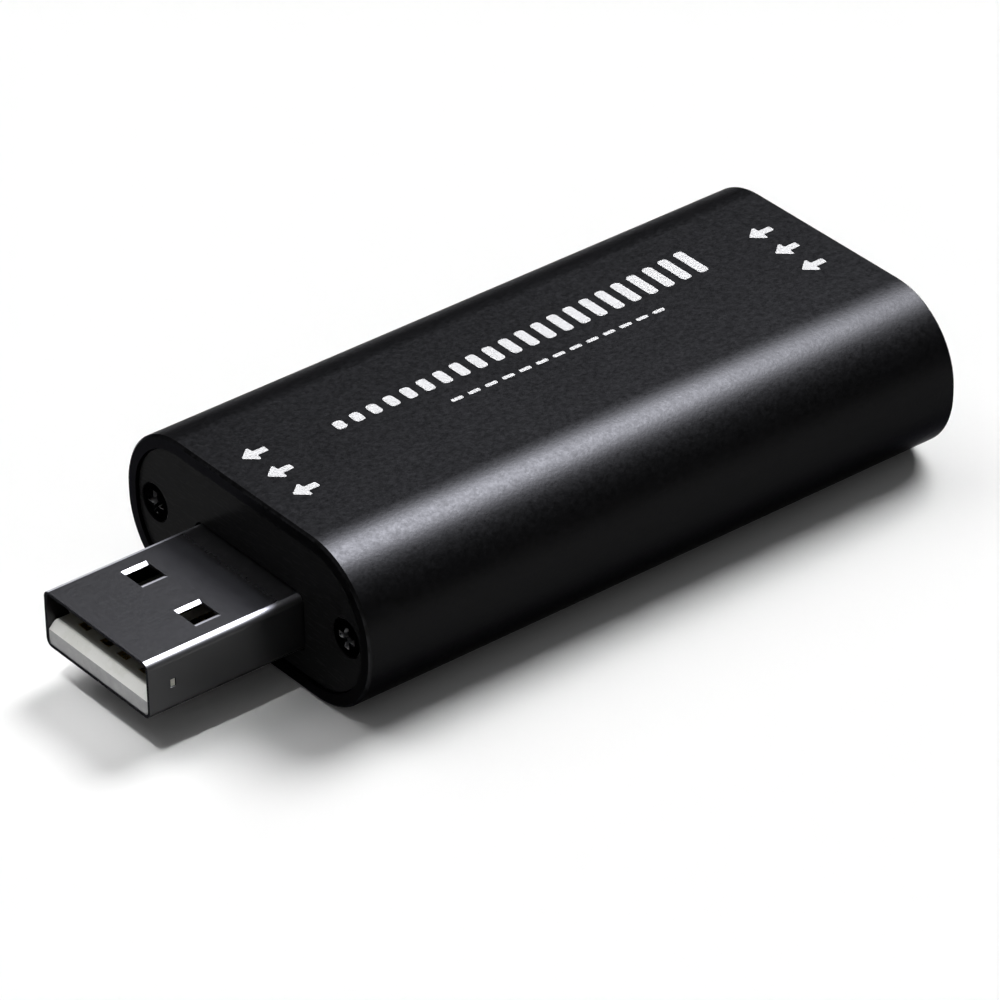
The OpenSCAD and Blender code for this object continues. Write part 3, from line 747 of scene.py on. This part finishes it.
@dataclass(frozen=True)
class SolderMask(Finish):
    """Green lacquer over glass weave and copper tracks.

    Attributes:
        green: The lacquer over bare laminate.
        over_copper: The lacquer over a track.
        edge: The bare laminate at the board's edge.
        weave: Pitch of the glass weave.
        weave_level: Share of the lacquer over copper in the colour of the weave.
        weave_rough: Roughness that the weave adds.
        weave_height: Height of the weave, as a share of the tracks' thickness.
        track: Width of the tracks.
        track_length: How many times as long as wide the tracks run.
        track_share: Share of the board that they cover.
        track_level: Share of the lacquer over copper in their colour.
        copper: Thickness of the tracks.
        gloss: Roughness of the lacquer.
        cut_rough: Roughness that the bare edge adds.
        cut_turn: Facing up over which a face turns into the bare edge.
    """

    green: Colour = (0.008, 0.075, 0.025)
    over_copper: Colour = (0.02, 0.16, 0.06)
    edge: Colour = (0.28, 0.26, 0.13)
    weave: float = 0.5 * MM
    weave_level: float = 0.15
    weave_rough: float = 0.06
    weave_height: float = 0.3
    track: float = 1.5 * MM
    track_length: float = 4.0
    track_share: float = 0.4
    track_level: float = 0.8
    copper: float = 12 * MICRON
    gloss: float = 0.3
    cut_rough: float = 0.4
    cut_turn: Span = (0.7, 0.3)

    def paint(self, shader: Shader) -> None:
        """Weave under the lacquer, broad tracks through it and pale cut edges."""
        turn = 2 * math.pi / self.weave
        warp = (turn * shader.at(Axis.ALONG)).sine()
        weft = (turn * shader.at(Axis.ACROSS)).sine()
        weave = 0.5 + 0.25 * (warp + weft)
        run = (self.track_length, 1.0, 1.0)
        tracks = shader.spots(self.track, self.track_share, detail=0.0, stretch=run)
        cut = abs(shader.facing(Axis.UP)).rise(*self.cut_turn)
        coppery = self.track_level * tracks + self.weave_level * weave
        lacquer = shader.blend(coppery, self.green, self.over_copper)
        shader.surface({
            "Base Color": shader.blend(cut, lacquer, self.edge),
            "Roughness": self.gloss + self.weave_rough * weave + self.cut_rough * cut,
            "Normal": shader.bump(tracks + self.weave_height * weave, self.copper),
        })


@dataclass(frozen=True)
class ScreenInk(Finish):
    """White screen print, thin enough to follow the blasted grain below it.

    Attributes:
        white: Its colour.
        thin: Its colour where the ink is thin.
        thin_share: Share of the ink that is thin.
        grain: Size of the grain that shows through.
        grain_rough: Change of roughness over it.
        depth: Depth of that grain.
        rough: Its roughness.
        specular: How strongly it mirrors.
    """

    white: Colour = (0.74, 0.74, 0.755)
    thin: Colour = (0.64, 0.64, 0.655)
    thin_share: float = 0.12
    grain: float = 0.14 * MM
    grain_rough: float = 0.15
    depth: float = 5 * MICRON
    rough: float = 0.55
    specular: float = 0.2

    def paint(self, shader: Shader) -> None:
        """Ink that is thinner in the dimples."""
        grain = shader.noise(self.grain)
        shader.surface({
            "Base Color": shader.blend(shader.spots(self.grain, self.thin_share), self.white, self.thin),
            "Roughness": self.rough + self.grain_rough * grain.swing(),
            "Specular IOR Level": self.specular,
            "Normal": shader.bump(grain, self.depth),
        })


@dataclass(frozen=True)
class StudioFloor(Finish):
    """Matt white table, see-through from below so that the underside can be looked at.

    Attributes:
        white: Its colour.
        shade: Its faintly darker patches.
        patch: Size of those patches.
    """

    white: Colour = (0.93, 0.93, 0.93)
    shade: Colour = (0.92, 0.92, 0.92)
    patch: float = 120 * MM

    def paint(self, shader: Shader) -> None:
        """A faint paper tone in a matt white, with nothing on its back."""
        paper = shader.blend(shader.noise(self.patch), self.white, self.shade)
        front = shader.node("ShaderNodeBsdfDiffuse", {}, {"Color": paper})
        back = shader.node("ShaderNodeBsdfTransparent", {}, {})
        side = shader.node("ShaderNodeNewGeometry", {}, {}).outputs["Backfacing"]
        both = {0: side, 1: front.outputs[0], 2: back.outputs[0]}
        shader.finish(shader.node("ShaderNodeMixShader", {}, both))


@dataclass(frozen=True)
class SoftEdge:
    """The small round that a real edge has.

    Attributes:
        width: Width of the round.
        segments: Facets across it.
        angle: Smallest turn that counts as an edge, in degrees.
        merge: Distance under which doubled corners become one.
        flat: Turn under which neighbouring facets count as one flat, in degrees.
    """

    width: float
    segments: int = 2
    angle: float = 15.0
    merge: float = 0.2 * MICRON
    flat: float = 0.4

    def group(self, name: str) -> Tuple[Graph, bpy.types.NodeSocket]:
        """Starts a modifier's tree.

        Args:
            name: The tree's name.

        Returns:
            The tree, and the socket that the piece's mesh comes from.
        """
        tree = bpy.data.node_groups.new(name, "GeometryNodeTree")
        for way in ("INPUT", "OUTPUT"):
            tree.interface.new_socket("Geometry", in_out=way, socket_type="NodeSocketGeometry")
        graph = Graph(tree)
        return graph, graph.node("NodeGroupInput", {}, {}).outputs[0]

    def smooth_faces(self) -> bpy.types.NodeTree:
        """Gives the tree that drops stored normals and shades faces smooth, made once."""
        name = "smooth_faces"
        if name not in bpy.data.node_groups:
            graph, mesh = self.group(name)
            bare = graph.node("GeometryNodeRemoveAttribute", {}, {0: mesh, "Name": "custom_normal"})
            smooth = graph.node("GeometryNodeSetShadeSmooth", {}, {0: bare.outputs[0]})
            graph.node("NodeGroupOutput", {}, {0: smooth.outputs[0]})
        return bpy.data.node_groups[name]

    def give(self, piece: bpy.types.Object) -> None:
        """Adds the modifiers that round a piece's edges.

        Args:
            piece: The piece, whose own mesh stays as it is.
        """
        piece.modifiers.new("one_skin", "WELD").merge_threshold = self.merge
        piece.modifiers.new("smooth", "NODES").node_group = self.smooth_faces()
        flats = piece.modifiers.new("flats", "DECIMATE")
        flats.decimate_type = "DISSOLVE"
        flats.angle_limit = math.radians(self.flat)
        bevel = piece.modifiers.new("soft_edge", "BEVEL")
        bevel.limit_method = "ANGLE"
        bevel.angle_limit = math.radians(self.angle)
        bevel.width = self.width
        bevel.segments = self.segments
        bevel.use_clamp_overlap = True
        piece.modifiers.new("true_flats", "WEIGHTED_NORMAL").mode = "FACE_AREA"


class Node:
    """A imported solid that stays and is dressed."""

    def __init__(self, name: str) -> None:
        """Finds the solid by its node's name."""
        self.name = name
        self.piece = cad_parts[name]

    def wear(self, finish: bpy.types.Material, edge: Optional[SoftEdge] = None) -> None:
        """Dresses the solid.

        Args:
            finish: Its material.
            edge: The round of its edges, if it is wide enough to have one.
        """
        self.piece.data.materials.clear()
        self.piece.data.materials.append(finish)
        if edge is not None:
            edge.give(self.piece)
        LOG.info("%s wears %s", self.name, finish.name)


@dataclass
class Housing:
    """Sleeve, end plates and their screws.

    Attributes:
        sleeve_edge: Round of the sleeve's edges.
        plate_edge: Round of the plates' edges.
        screw_edge: Round of the screws' rims and recesses.
    """

    sleeve_edge: float = 0.05 * MM
    plate_edge: float = 0.04 * MM
    screw_edge: float = 0.09 * MM

    def dress(self) -> None:
        """Gives the five housing pieces their finishes."""
        half_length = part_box("housing_sleeve")[1].x
        sleeve = BlastedAnodising("sleeve_black_anodised", half_length).material()
        plate = GlossBlack("plate_gloss_black").material()
        screw = BlackenedSteel("screw_blackened").material()
        Node("housing_sleeve").wear(sleeve, SoftEdge(self.sleeve_edge))
        for end in End:
            Node(f"{end.value}_end_plate").wear(plate, SoftEdge(self.plate_edge))
            Node(f"{end.value}_end_screws").wear(screw, SoftEdge(self.screw_edge))


@dataclass
class ComputerPlug:
    """Folded shell, white tongue and four contacts of the computer plug.

    Attributes:
        shell_edge: Round of the shell's sheared edges.
        tongue_edge: Round of the moulded tongue's edges.
        contact_edge: Round of the contacts' edges.
        stain_and_shade_reach: Distance from the sleeve's end at which the shell's stains, with their painted
            shade, begin.
        stain_and_shade_fade: Distance over which they grow full.
        mouth_shade_set: Distance from the plug's tip at which the painted shade inside the tongue's mouth
            begins.
        mouth_shade_fade: Distance over which it grows full.
    """

    shell_edge: float = 0.04 * MM
    tongue_edge: float = 0.12 * MM
    contact_edge: float = 0.03 * MM
    stain_and_shade_reach: float = 6.8 * MM
    stain_and_shade_fade: float = 6.8 * MM
    mouth_shade_set: float = 0.5 * MM
    mouth_shade_fade: float = 0.65 * MM

    def dress(self) -> None:
        """Gives the plug's pieces their finishes."""
        # The shell's stains darken it toward the sleeve's end, partly as painted shade of the sleeve.
        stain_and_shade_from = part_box("housing_sleeve")[0].x - self.stain_and_shade_reach
        # Where the painted shade inside the plug's mouth begins.
        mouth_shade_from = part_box("plug_shell")[0].x + self.mouth_shade_set
        steel = PlatedSheet("plug_plated_steel", stain_and_shade_from, stain_and_shade_from + self.stain_and_shade_fade)
        # The tongue's front and the inside of the mouth get painted shade.
        white = ShadedMoulding(
            name="plug_white_moulding", colour=(0.80, 0.80, 0.775), shade=(0.72, 0.725, 0.68), rough=0.45,
            mouth_shade_start=mouth_shade_from, mouth_shade_end=mouth_shade_from + self.mouth_shade_fade,
        )
        gold = PlainMetal(
            "plug_gold_plate", bright=(0.55, 0.42, 0.17), tarnished=(0.40, 0.30, 0.12), smooth=0.2,
        )
        Node("plug_shell").wear(steel.material(), SoftEdge(self.shell_edge))
        Node("plug_tongue").wear(white.material(), SoftEdge(self.tongue_edge, segments=4))
        Node("plug_contacts").wear(gold.material(), SoftEdge(self.contact_edge))


@dataclass
class VideoSocket:
    """Folded shell, tongue and nineteen contacts of the video socket.

    Attributes:
        shell_edge: Round of the shell's sheared edges.
        tongue_edge: Round of the moulded tongue's edges.
        stain_and_shade_fade: Distance over which the shell's stains grow full, from its rear on.
    """

    shell_edge: float = 0.04 * MM
    tongue_edge: float = 0.03 * MM
    stain_and_shade_fade: float = 26 * MM

    def dress(self) -> None:
        """Gives the socket's pieces their finishes."""
        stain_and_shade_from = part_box("socket_shell")[0].x
        steel = PlatedSheet(
            "socket_plated_steel", stain_and_shade_from, stain_and_shade_from + self.stain_and_shade_fade,
            bright=(0.58, 0.58, 0.59), stain_and_shade=(0.42, 0.42, 0.43), cut=(0.34, 0.34, 0.35), smooth=0.2,
        )
        black = Moulding(
            "socket_black_moulding", colour=(0.010, 0.010, 0.011), shade=(0.022, 0.022, 0.023), rough=0.45,
        )
        gold = PlainMetal(
            "socket_gold_plate", bright=(0.83, 0.60, 0.22), tarnished=(0.66, 0.44, 0.15), smooth=0.2,
            grain=0.3 * MM,
        )
        Node("socket_shell").wear(steel.material(), SoftEdge(self.shell_edge))
        Node("socket_tongue").wear(black.material(), SoftEdge(self.tongue_edge))
        Node("socket_contacts").wear(gold.material())


@dataclass
class CircuitBoard:
    """Board and the parts soldered to it.

    Attributes:
        package_edge: Round of the packages' edges.
        chip_edge: Round of the small chip parts' edges.
        packages: Nodes of black resin.
        leads: Nodes of bare tinned leads.
        tan_parts: Nodes of tan ceramic.
        dark_parts: Nodes of dark ceramic.
        tinned_ends: Nodes of tinned metal with soft edges.
    """

    package_edge: float = 0.06 * MM
    chip_edge: float = 0.03 * MM
    packages: Tuple[str, ...] = ("capture_chip", "memory_chip", "regulator", "surge_arrays")
    leads: Tuple[str, ...] = ("capture_chip_leads", "memory_chip_leads", "regulator_leads")
    tan_parts: Tuple[str, ...] = ("large_capacitors", "chip_capacitors")
    dark_parts: Tuple[str, ...] = ("filter_beads", "chip_resistors", "crystal_base")
    tinned_ends: Tuple[str, ...] = (
        "filter_bead_ends", "large_capacitor_ends", "chip_capacitor_ends", "chip_resistor_ends",
        "crystal_lid",
    )

    def dress(self) -> None:
        """Gives the board and its parts their finishes."""
        resin = Moulding(
            "package_resin", colour=(0.016, 0.016, 0.017), shade=(0.026, 0.026, 0.028), rough=0.55,
        ).material()
        tin = PlainMetal("tinned_metal", smooth=0.3, grain=0.3 * MM).material()
        tan = Moulding("capacitor_ceramic", colour=(0.40, 0.28, 0.15), shade=(0.30, 0.20, 0.10)).material()
        dark = Moulding("dark_ceramic", colour=(0.045, 0.038, 0.034), shade=(0.025, 0.021, 0.02)).material()
        Node("circuit_board").wear(SolderMask("board_solder_mask").material())
        small = SoftEdge(self.chip_edge)
        for names, finish, edge in (
            (self.packages, resin, SoftEdge(self.package_edge)), (self.leads, tin, None),
            (self.tan_parts, tan, small), (self.dark_parts, dark, small), (self.tinned_ends, tin, small),
        ):
            for name in names:
                Node(name).wear(finish, edge)


class Outline:
    """A closed flat outline, with its corners rounded."""

    def __init__(self, corners: Sequence[Point], radius: float, steps: int = 5) -> None:
        """Rounds the corners of a polygon.

        Args:
            corners: The polygon's corners, in order.
            radius: Radius of the round at each corner.
            steps: Facets of each round.
        """
        self.points: List[Vector] = []
        count = len(corners)
        for i in range(count):
            before, corner, after = (Vector(corners[(i + k) % count]) for k in (-1, 0, 1))
            self._round(before, corner, after, radius, steps)

    def _round(self, before: Vector, corner: Vector, after: Vector, radius: float, steps: int) -> None:
        """Adds one rounded corner.

        Args:
            before: The corner before it.
            corner: The corner itself.
            after: The corner after it.
            radius: Radius of the round.
            steps: Facets of the round.
        """
        back = (before - corner).normalized()
        ahead = (after - corner).normalized()
        half = back.angle(ahead) / 2
        reach = radius / math.tan(half)
        middle = corner + (back + ahead).normalized() * (radius / math.sin(half))
        start = corner + back * reach - middle
        turn = (corner + ahead * reach - middle).angle_signed(start)
        for k in range(steps + 1):
            self.points.append(middle + Matrix.Rotation(turn * k / steps, 2) @ start)

    def faces(self, first: int) -> List[List[int]]:
        """Numbers the faces of a slab with this outline, whose lower corners come before its upper ones.

        Args:
            first: Number of its first corner.

        Returns:
            The corners of its underside, its top and its sides, in a fixed order.
        """
        count = len(self.points)
        low = list(range(first, first + count))
        high = [corner + count for corner in low]
        sides = [[low[k - 1], low[k], high[k], high[k - 1]] for k in range(count)]
        return [low[::-1], high, *sides]


@dataclass
class PrintedMarks:
    """White marks printed on the sleeve's top: arrows at both ends, a rising row of bars and a dashed rule.

    Attributes:
        proud: Height of the ink above the sleeve.
        sunk: Depth of the ink in the blasted grain.
        arrow_length: Length of an arrow.
        arrow_width: Width of an arrow's head.
        arrow_head: Length of an arrow's head.
        arrow_shaft: Width of an arrow's shaft.
        arrow_pitch: Distance between the arrows of a row.
        arrow_count: Number of arrows in a row.
        output_middle: Middle of the row at the output end.
        input_middle: Middle of the row at the input end.
        row_start: Start of the row of bars along the sleeve.
        row_end: End of the row of bars along the sleeve.
        row_y: Foot of the bars across the sleeve.
        bar_count: Number of bars.
        bar_width: Width of a bar.
        bar_low: Height of the first bar.
        bar_high: Height of the last bar.
        bar_round: Radius of a bar's corners.
        rule_start: Start of the dashed rule along the sleeve.
        rule_end: End of the dashed rule along the sleeve.
        rule_y: Middle of the dashed rule across the sleeve.
        dash_count: Number of dashes.
        dash_width: Width of a dash.
        dash_share: Share of the pitch that a dash fills.
        corner_round: Radius of the corners of arrows and dashes.
    """

    proud: float = 0.02 * MM
    sunk: float = 0.01 * MM
    arrow_length: float = 2.1 * MM
    arrow_width: float = 1.92 * MM
    arrow_head: float = 1.1 * MM
    arrow_shaft: float = 0.6 * MM
    arrow_pitch: float = 2.89 * MM
    arrow_count: int = 3
    output_middle: Point = (-22.84 * MM, 0.23 * MM)
    input_middle: Point = (22.53 * MM, 0.38 * MM)
    row_start: float = -16.56 * MM
    row_end: float = 16.54 * MM
    row_y: float = 1.75 * MM
    bar_count: int = 22
    bar_width: float = 0.83 * MM
    bar_low: float = 1.06 * MM
    bar_high: float = 3.27 * MM
    bar_round: float = 0.29 * MM
    rule_start: float = -8.38 * MM
    rule_end: float = 10.64 * MM
    rule_y: float = -0.27 * MM
    dash_count: int = 13
    dash_width: float = 0.35 * MM
    dash_share: float = 0.66
    corner_round: float = 0.12 * MM

    def build(self) -> None:
        """Prints all the marks."""
        ink = ScreenInk("ink_white").material()
        self.lay_ink("output_arrows", self.arrows(self.output_middle), ink)
        self.lay_ink("input_arrows", self.arrows(self.input_middle), ink)
        self.lay_ink("level_bars", self.bars(), ink)
        self.lay_ink("dashed_rule", self.dashes(), ink)

    def arrows(self, middle: Point) -> List[Outline]:
        """Draws a row of arrows across the sleeve that point toward the plug.

        Args:
            middle: Middle of the row.

        Returns:
            One outline for each arrow.
        """
        tip = middle[0] - self.arrow_length / 2
        neck = tip + self.arrow_head
        tail = tip + self.arrow_length
        shaft, wing = self.arrow_shaft / 2, self.arrow_width / 2
        outlines = []
        for k in range(self.arrow_count):
            row = middle[1] + (k - (self.arrow_count - 1) / 2) * self.arrow_pitch
            outlines.append(Outline([
                (tip, row), (neck, row - wing), (neck, row - shaft), (tail, row - shaft),
                (tail, row + shaft), (neck, row + shaft), (neck, row + wing),
            ], self.corner_round))
        return outlines

    def bars(self) -> List[Outline]:
        """Draws the row of bars, each a little taller than the one before.

        Returns:
            One outline for each bar.
        """
        outlines = []
        for k in range(self.bar_count):
            share = k / (self.bar_count - 1)
            left = self.row_start + share * (self.row_end - self.row_start - self.bar_width)
            height = self.bar_low + share * (self.bar_high - self.bar_low)
            outlines.append(self.bar(left, self.row_y, self.bar_width, height, self.bar_round))
        return outlines

    def dashes(self) -> List[Outline]:
        """Draws the dashed rule.

        Returns:
            One outline for each dash.
        """
        pitch = (self.rule_end - self.rule_start) / (self.dash_count - 1 + self.dash_share)
        foot = self.rule_y - self.dash_width / 2
        length = pitch * self.dash_share
        return [
            self.bar(self.rule_start + k * pitch, foot, length, self.dash_width, self.corner_round)
            for k in range(self.dash_count)
        ]

    def bar(self, left: float, foot: float, width: float, height: float, radius: float) -> Outline:
        """Draws one rectangle with round corners.

        Args:
            left: Its lowest place along the sleeve.
            foot: Its lowest place across the sleeve.
            width: Its size along the sleeve.
            height: Its size across the sleeve.
            radius: Radius of its corners.

        Returns:
            The outline.
        """
        right, top = left + width, foot + height
        return Outline([(left, foot), (right, foot), (right, top), (left, top)], radius)

    def lay_ink(self, name: str, outlines: Sequence[Outline], ink: bpy.types.Material) -> None:
        """Makes one piece of ink from outlines, riding on the body.

        Args:
            name: The piece's name.
            outlines: Its outlines, on the sleeve's top.
            ink: Its material.
        """
        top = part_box("housing_sleeve")[1].z
        corners: List[Triple] = []
        faces: List[List[int]] = []
        for outline in outlines:
            faces += outline.faces(len(corners))
            for height in (top - self.sunk, top + self.proud):
                corners += [(point.x, point.y, height) for point in outline.points]
        mesh = bpy.data.meshes.new(name)
        mesh.from_pydata(corners, [], faces)
        mesh.materials.append(ink)
        piece = bpy.data.objects.new(name, mesh)
        bpy.context.scene.collection.objects.link(piece)
        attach(piece, BODY)
        LOG.info("%s printed with %d outlines", name, len(outlines))


@dataclass(frozen=True)
class Light:
    """A lamp of the studio.

    Attributes:
        role: What it is for.
        from_where: Direction that it comes from.
        power: Its strength, in watts, or for a far light in watts per square metre.
        faces: Point that it faces.
        reach: Its distance from that point.
        on_matt: Whether it lights matt surfaces too, and isn't only mirrored.
    """

    role: LampRole
    from_where: Triple
    power: float
    faces: Triple = (0.0, 0.0, 0.0)
    reach: float = 1.0
    on_matt: bool = True

    def hang(self) -> None:
        """Hangs the lamp."""
        bulb = self.bulb()
        bulb.energy = self.power
        lamp = bpy.data.objects.new(self.role.value, bulb)
        toward = Vector(self.faces)
        place = toward + Vector(self.from_where) * self.reach
        lamp.location = place
        lamp.rotation_euler = (toward - place).to_track_quat("-Z", "Y").to_euler()
        lamp.visible_diffuse = self.on_matt
        bpy.context.scene.collection.objects.link(lamp)

    def bulb(self) -> bpy.types.Light:
        """Makes the source of the light, in each kind of lamp its own way."""
        raise NotImplementedError


@dataclass(frozen=True, kw_only=True)
class FarLight(Light):
    """A light that comes from far away.

    Attributes:
        spread: Its apparent width, in degrees.
    """

    spread: float

    def bulb(self) -> bpy.types.Light:
        """Makes a sun."""
        bulb = bpy.data.lights.new(self.role.value, "SUN")
        bulb.angle = math.radians(self.spread)
        return bulb


@dataclass(frozen=True, kw_only=True)
class DiskLight(Light):
    """A near light with a round face.

    Attributes:
        side: Its diameter.
        tint: Its colour.
    """

    side: float
    tint: Colour

    def bulb(self) -> bpy.types.Light:
        """Makes a disk."""
        bulb = bpy.data.lights.new(self.role.value, "AREA")
        bulb.shape = "DISK"
        bulb.size = self.side
        bulb.color = self.tint
        return bulb


@dataclass(frozen=True, kw_only=True)
class SpotLight(Light):
    """A small near light with a narrow beam that fades toward its rim.

    Attributes:
        side: Its diameter.
        beam: Width of its beam, in degrees.
    """

    side: float
    beam: float

    def bulb(self) -> bpy.types.Light:
        """Makes a spot."""
        bulb = bpy.data.lights.new(self.role.value, "SPOT")
        bulb.spot_size = math.radians(self.beam)
        bulb.spot_blend = 1.0
        bulb.shadow_soft_size = self.side / 2
        return bulb


@dataclass
class Studio:
    """Floor, lamps, surroundings and camera.

    Attributes:
        aim: Point at the middle of the picture.
        azimuth: Angle of the camera round the object, in degrees.
        elevation: Angle of the camera above the horizon, in degrees.
        roll: Turn of the camera about its own axis, in degrees.
        distance: Distance from the camera to the aim point.
        lens: Focal length, in millimetres.
        sensor: Width of the sensor, in millimetres.
        nearest: Nearest distance that the camera draws.
        farthest: Farthest distance that the camera draws.
        floor_side: Side of the floor.
        floor_drop: Distance of the floor below the sleeve.
        key: Light from above the socket end.
        fill: Light from behind the plug.
        sheen: Light that only shows as a sheen on the sleeve's round edge and the plug's bends.
        accent: Light that reaches into the plug's mouth.
        bright_from: Direction in which the surroundings are brightest.
        bright_start: Cosine with that direction at which the surroundings begin to brighten.
        bright_full: Cosine with that direction at which they are brightest.
        dim: Brightness of the dim surroundings.
        bright: Brightness of the bright surroundings.
    """

    aim: Triple = (-5.864 * MM, -2.238 * MM, 4.907 * MM)
    azimuth: float = -37.853
    elevation: float = 33.085
    roll: float = -1.159
    distance: float = 461.55 * MM
    lens: float = 238.72
    sensor: float = 36.0
    nearest: float = 10 * MM
    farthest: float = 20.0
    floor_side: float = 6.0
    floor_drop: float = 0.02 * MM
    key: Light = FarLight(LampRole.KEY, from_where=(0.570, 0.130, 0.811), power=2.9, spread=32.0)
    fill: Light = FarLight(LampRole.FILL, from_where=(-0.15, 0.50, 0.853), power=0.75, spread=40.0)
    sheen: Light = DiskLight(
        LampRole.SHEEN, from_where=(0.445, 0.078, 0.892), power=5.7, faces=(-17.3 * MM, 0.0, 12.5 * MM),
        reach=330 * MM, on_matt=False, side=150 * MM, tint=(0.90, 0.91, 1.0),
    )
    accent: Light = SpotLight(
        LampRole.ACCENT, from_where=(-0.29, -0.05, 0.956), power=2.7, faces=(-38.35 * MM, 0.0, 4.75 * MM),
        reach=260 * MM, side=20 * MM, beam=4.0,
    )
    bright_from: Triple = (-0.30, -0.35, 0.89)
    bright_start: float = 0.1
    bright_full: float = 0.9
    dim: float = 0.03
    bright: float = 0.25

    def build(self) -> None:
        """Sets up the whole studio."""
        scene = bpy.context.scene
        scene.view_settings.view_transform = "Standard"
        self.floor()
        for light in (self.key, self.fill, self.sheen, self.accent):
            light.hang()
        self.surroundings()
        scene.camera = self.camera()

    def floor(self) -> None:
        """Lays the floor just under the sleeve."""
        half = self.floor_side / 2
        corners = [(-half, -half), (half, -half), (half, half), (-half, half)]
        mesh = bpy.data.meshes.new("floor")
        mesh.from_pydata([(x, y, -self.floor_drop) for x, y in corners], [], [(0, 1, 2, 3)])
        mesh.materials.append(StudioFloor("floor_white").material())
        floor = bpy.data.objects.new("floor", mesh)
        bpy.context.scene.collection.objects.link(floor)

    def surroundings(self) -> None:
        """Makes soft surroundings that are bright above the plug and dim behind the object."""
        world = bpy.data.worlds.new("surroundings")
        bpy.context.scene.world = world
        world.use_nodes = True
        graph = Graph(world.node_tree)
        direction = graph.node("ShaderNodeTexCoord", {}, {}).outputs["Generated"]
        toward = graph.node(
            "ShaderNodeVectorMath", {"operation": "DOT_PRODUCT"}, {0: direction, 1: self.bright_from},
        )
        share = Signal(graph, toward.outputs["Value"]).rise(self.bright_start, self.bright_full)
        level = self.dim + (self.bright - self.dim) * share
        light = graph.node("ShaderNodeBackground", {}, {"Strength": level})
        graph.node("ShaderNodeOutputWorld", {}, {"Surface": light.outputs[0]})

    def camera(self) -> bpy.types.Object:
        """Puts the camera at the picture's angle.

        Returns:
            The camera.
        """
        around, above = math.radians(self.azimuth), math.radians(self.elevation)
        back = Vector((
            math.sin(around) * math.cos(above),
            -math.cos(around) * math.cos(above),
            math.sin(above),
        ))
        right = Vector((math.cos(around), math.sin(around), 0))
        turn = Matrix.Rotation(math.radians(self.roll), 3, back)
        axes = Matrix([turn @ right, turn @ back.cross(right), back]).transposed().to_4x4()
        camera = bpy.data.objects.new("camera", bpy.data.cameras.new("camera"))
        camera.data.lens = self.lens
        camera.data.sensor_width = self.sensor
        camera.data.clip_start = self.nearest
        camera.data.clip_end = self.farthest
        camera.matrix_world = Matrix.Translation(Vector(self.aim) + back * self.distance) @ axes
        bpy.context.scene.collection.objects.link(camera)
        return camera


def main() -> None:
    """Builds the studio, dresses the sub-assemblies and prints the marks, in that order."""
    logging.basicConfig(level=logging.INFO, format="%(name)s: %(message)s")
    Studio().build()
    Housing().dress()
    ComputerPlug().dress()
    VideoSocket().dress()
    CircuitBoard().dress()
    PrintedMarks().build()


if __name__ == "__main__":
    main()
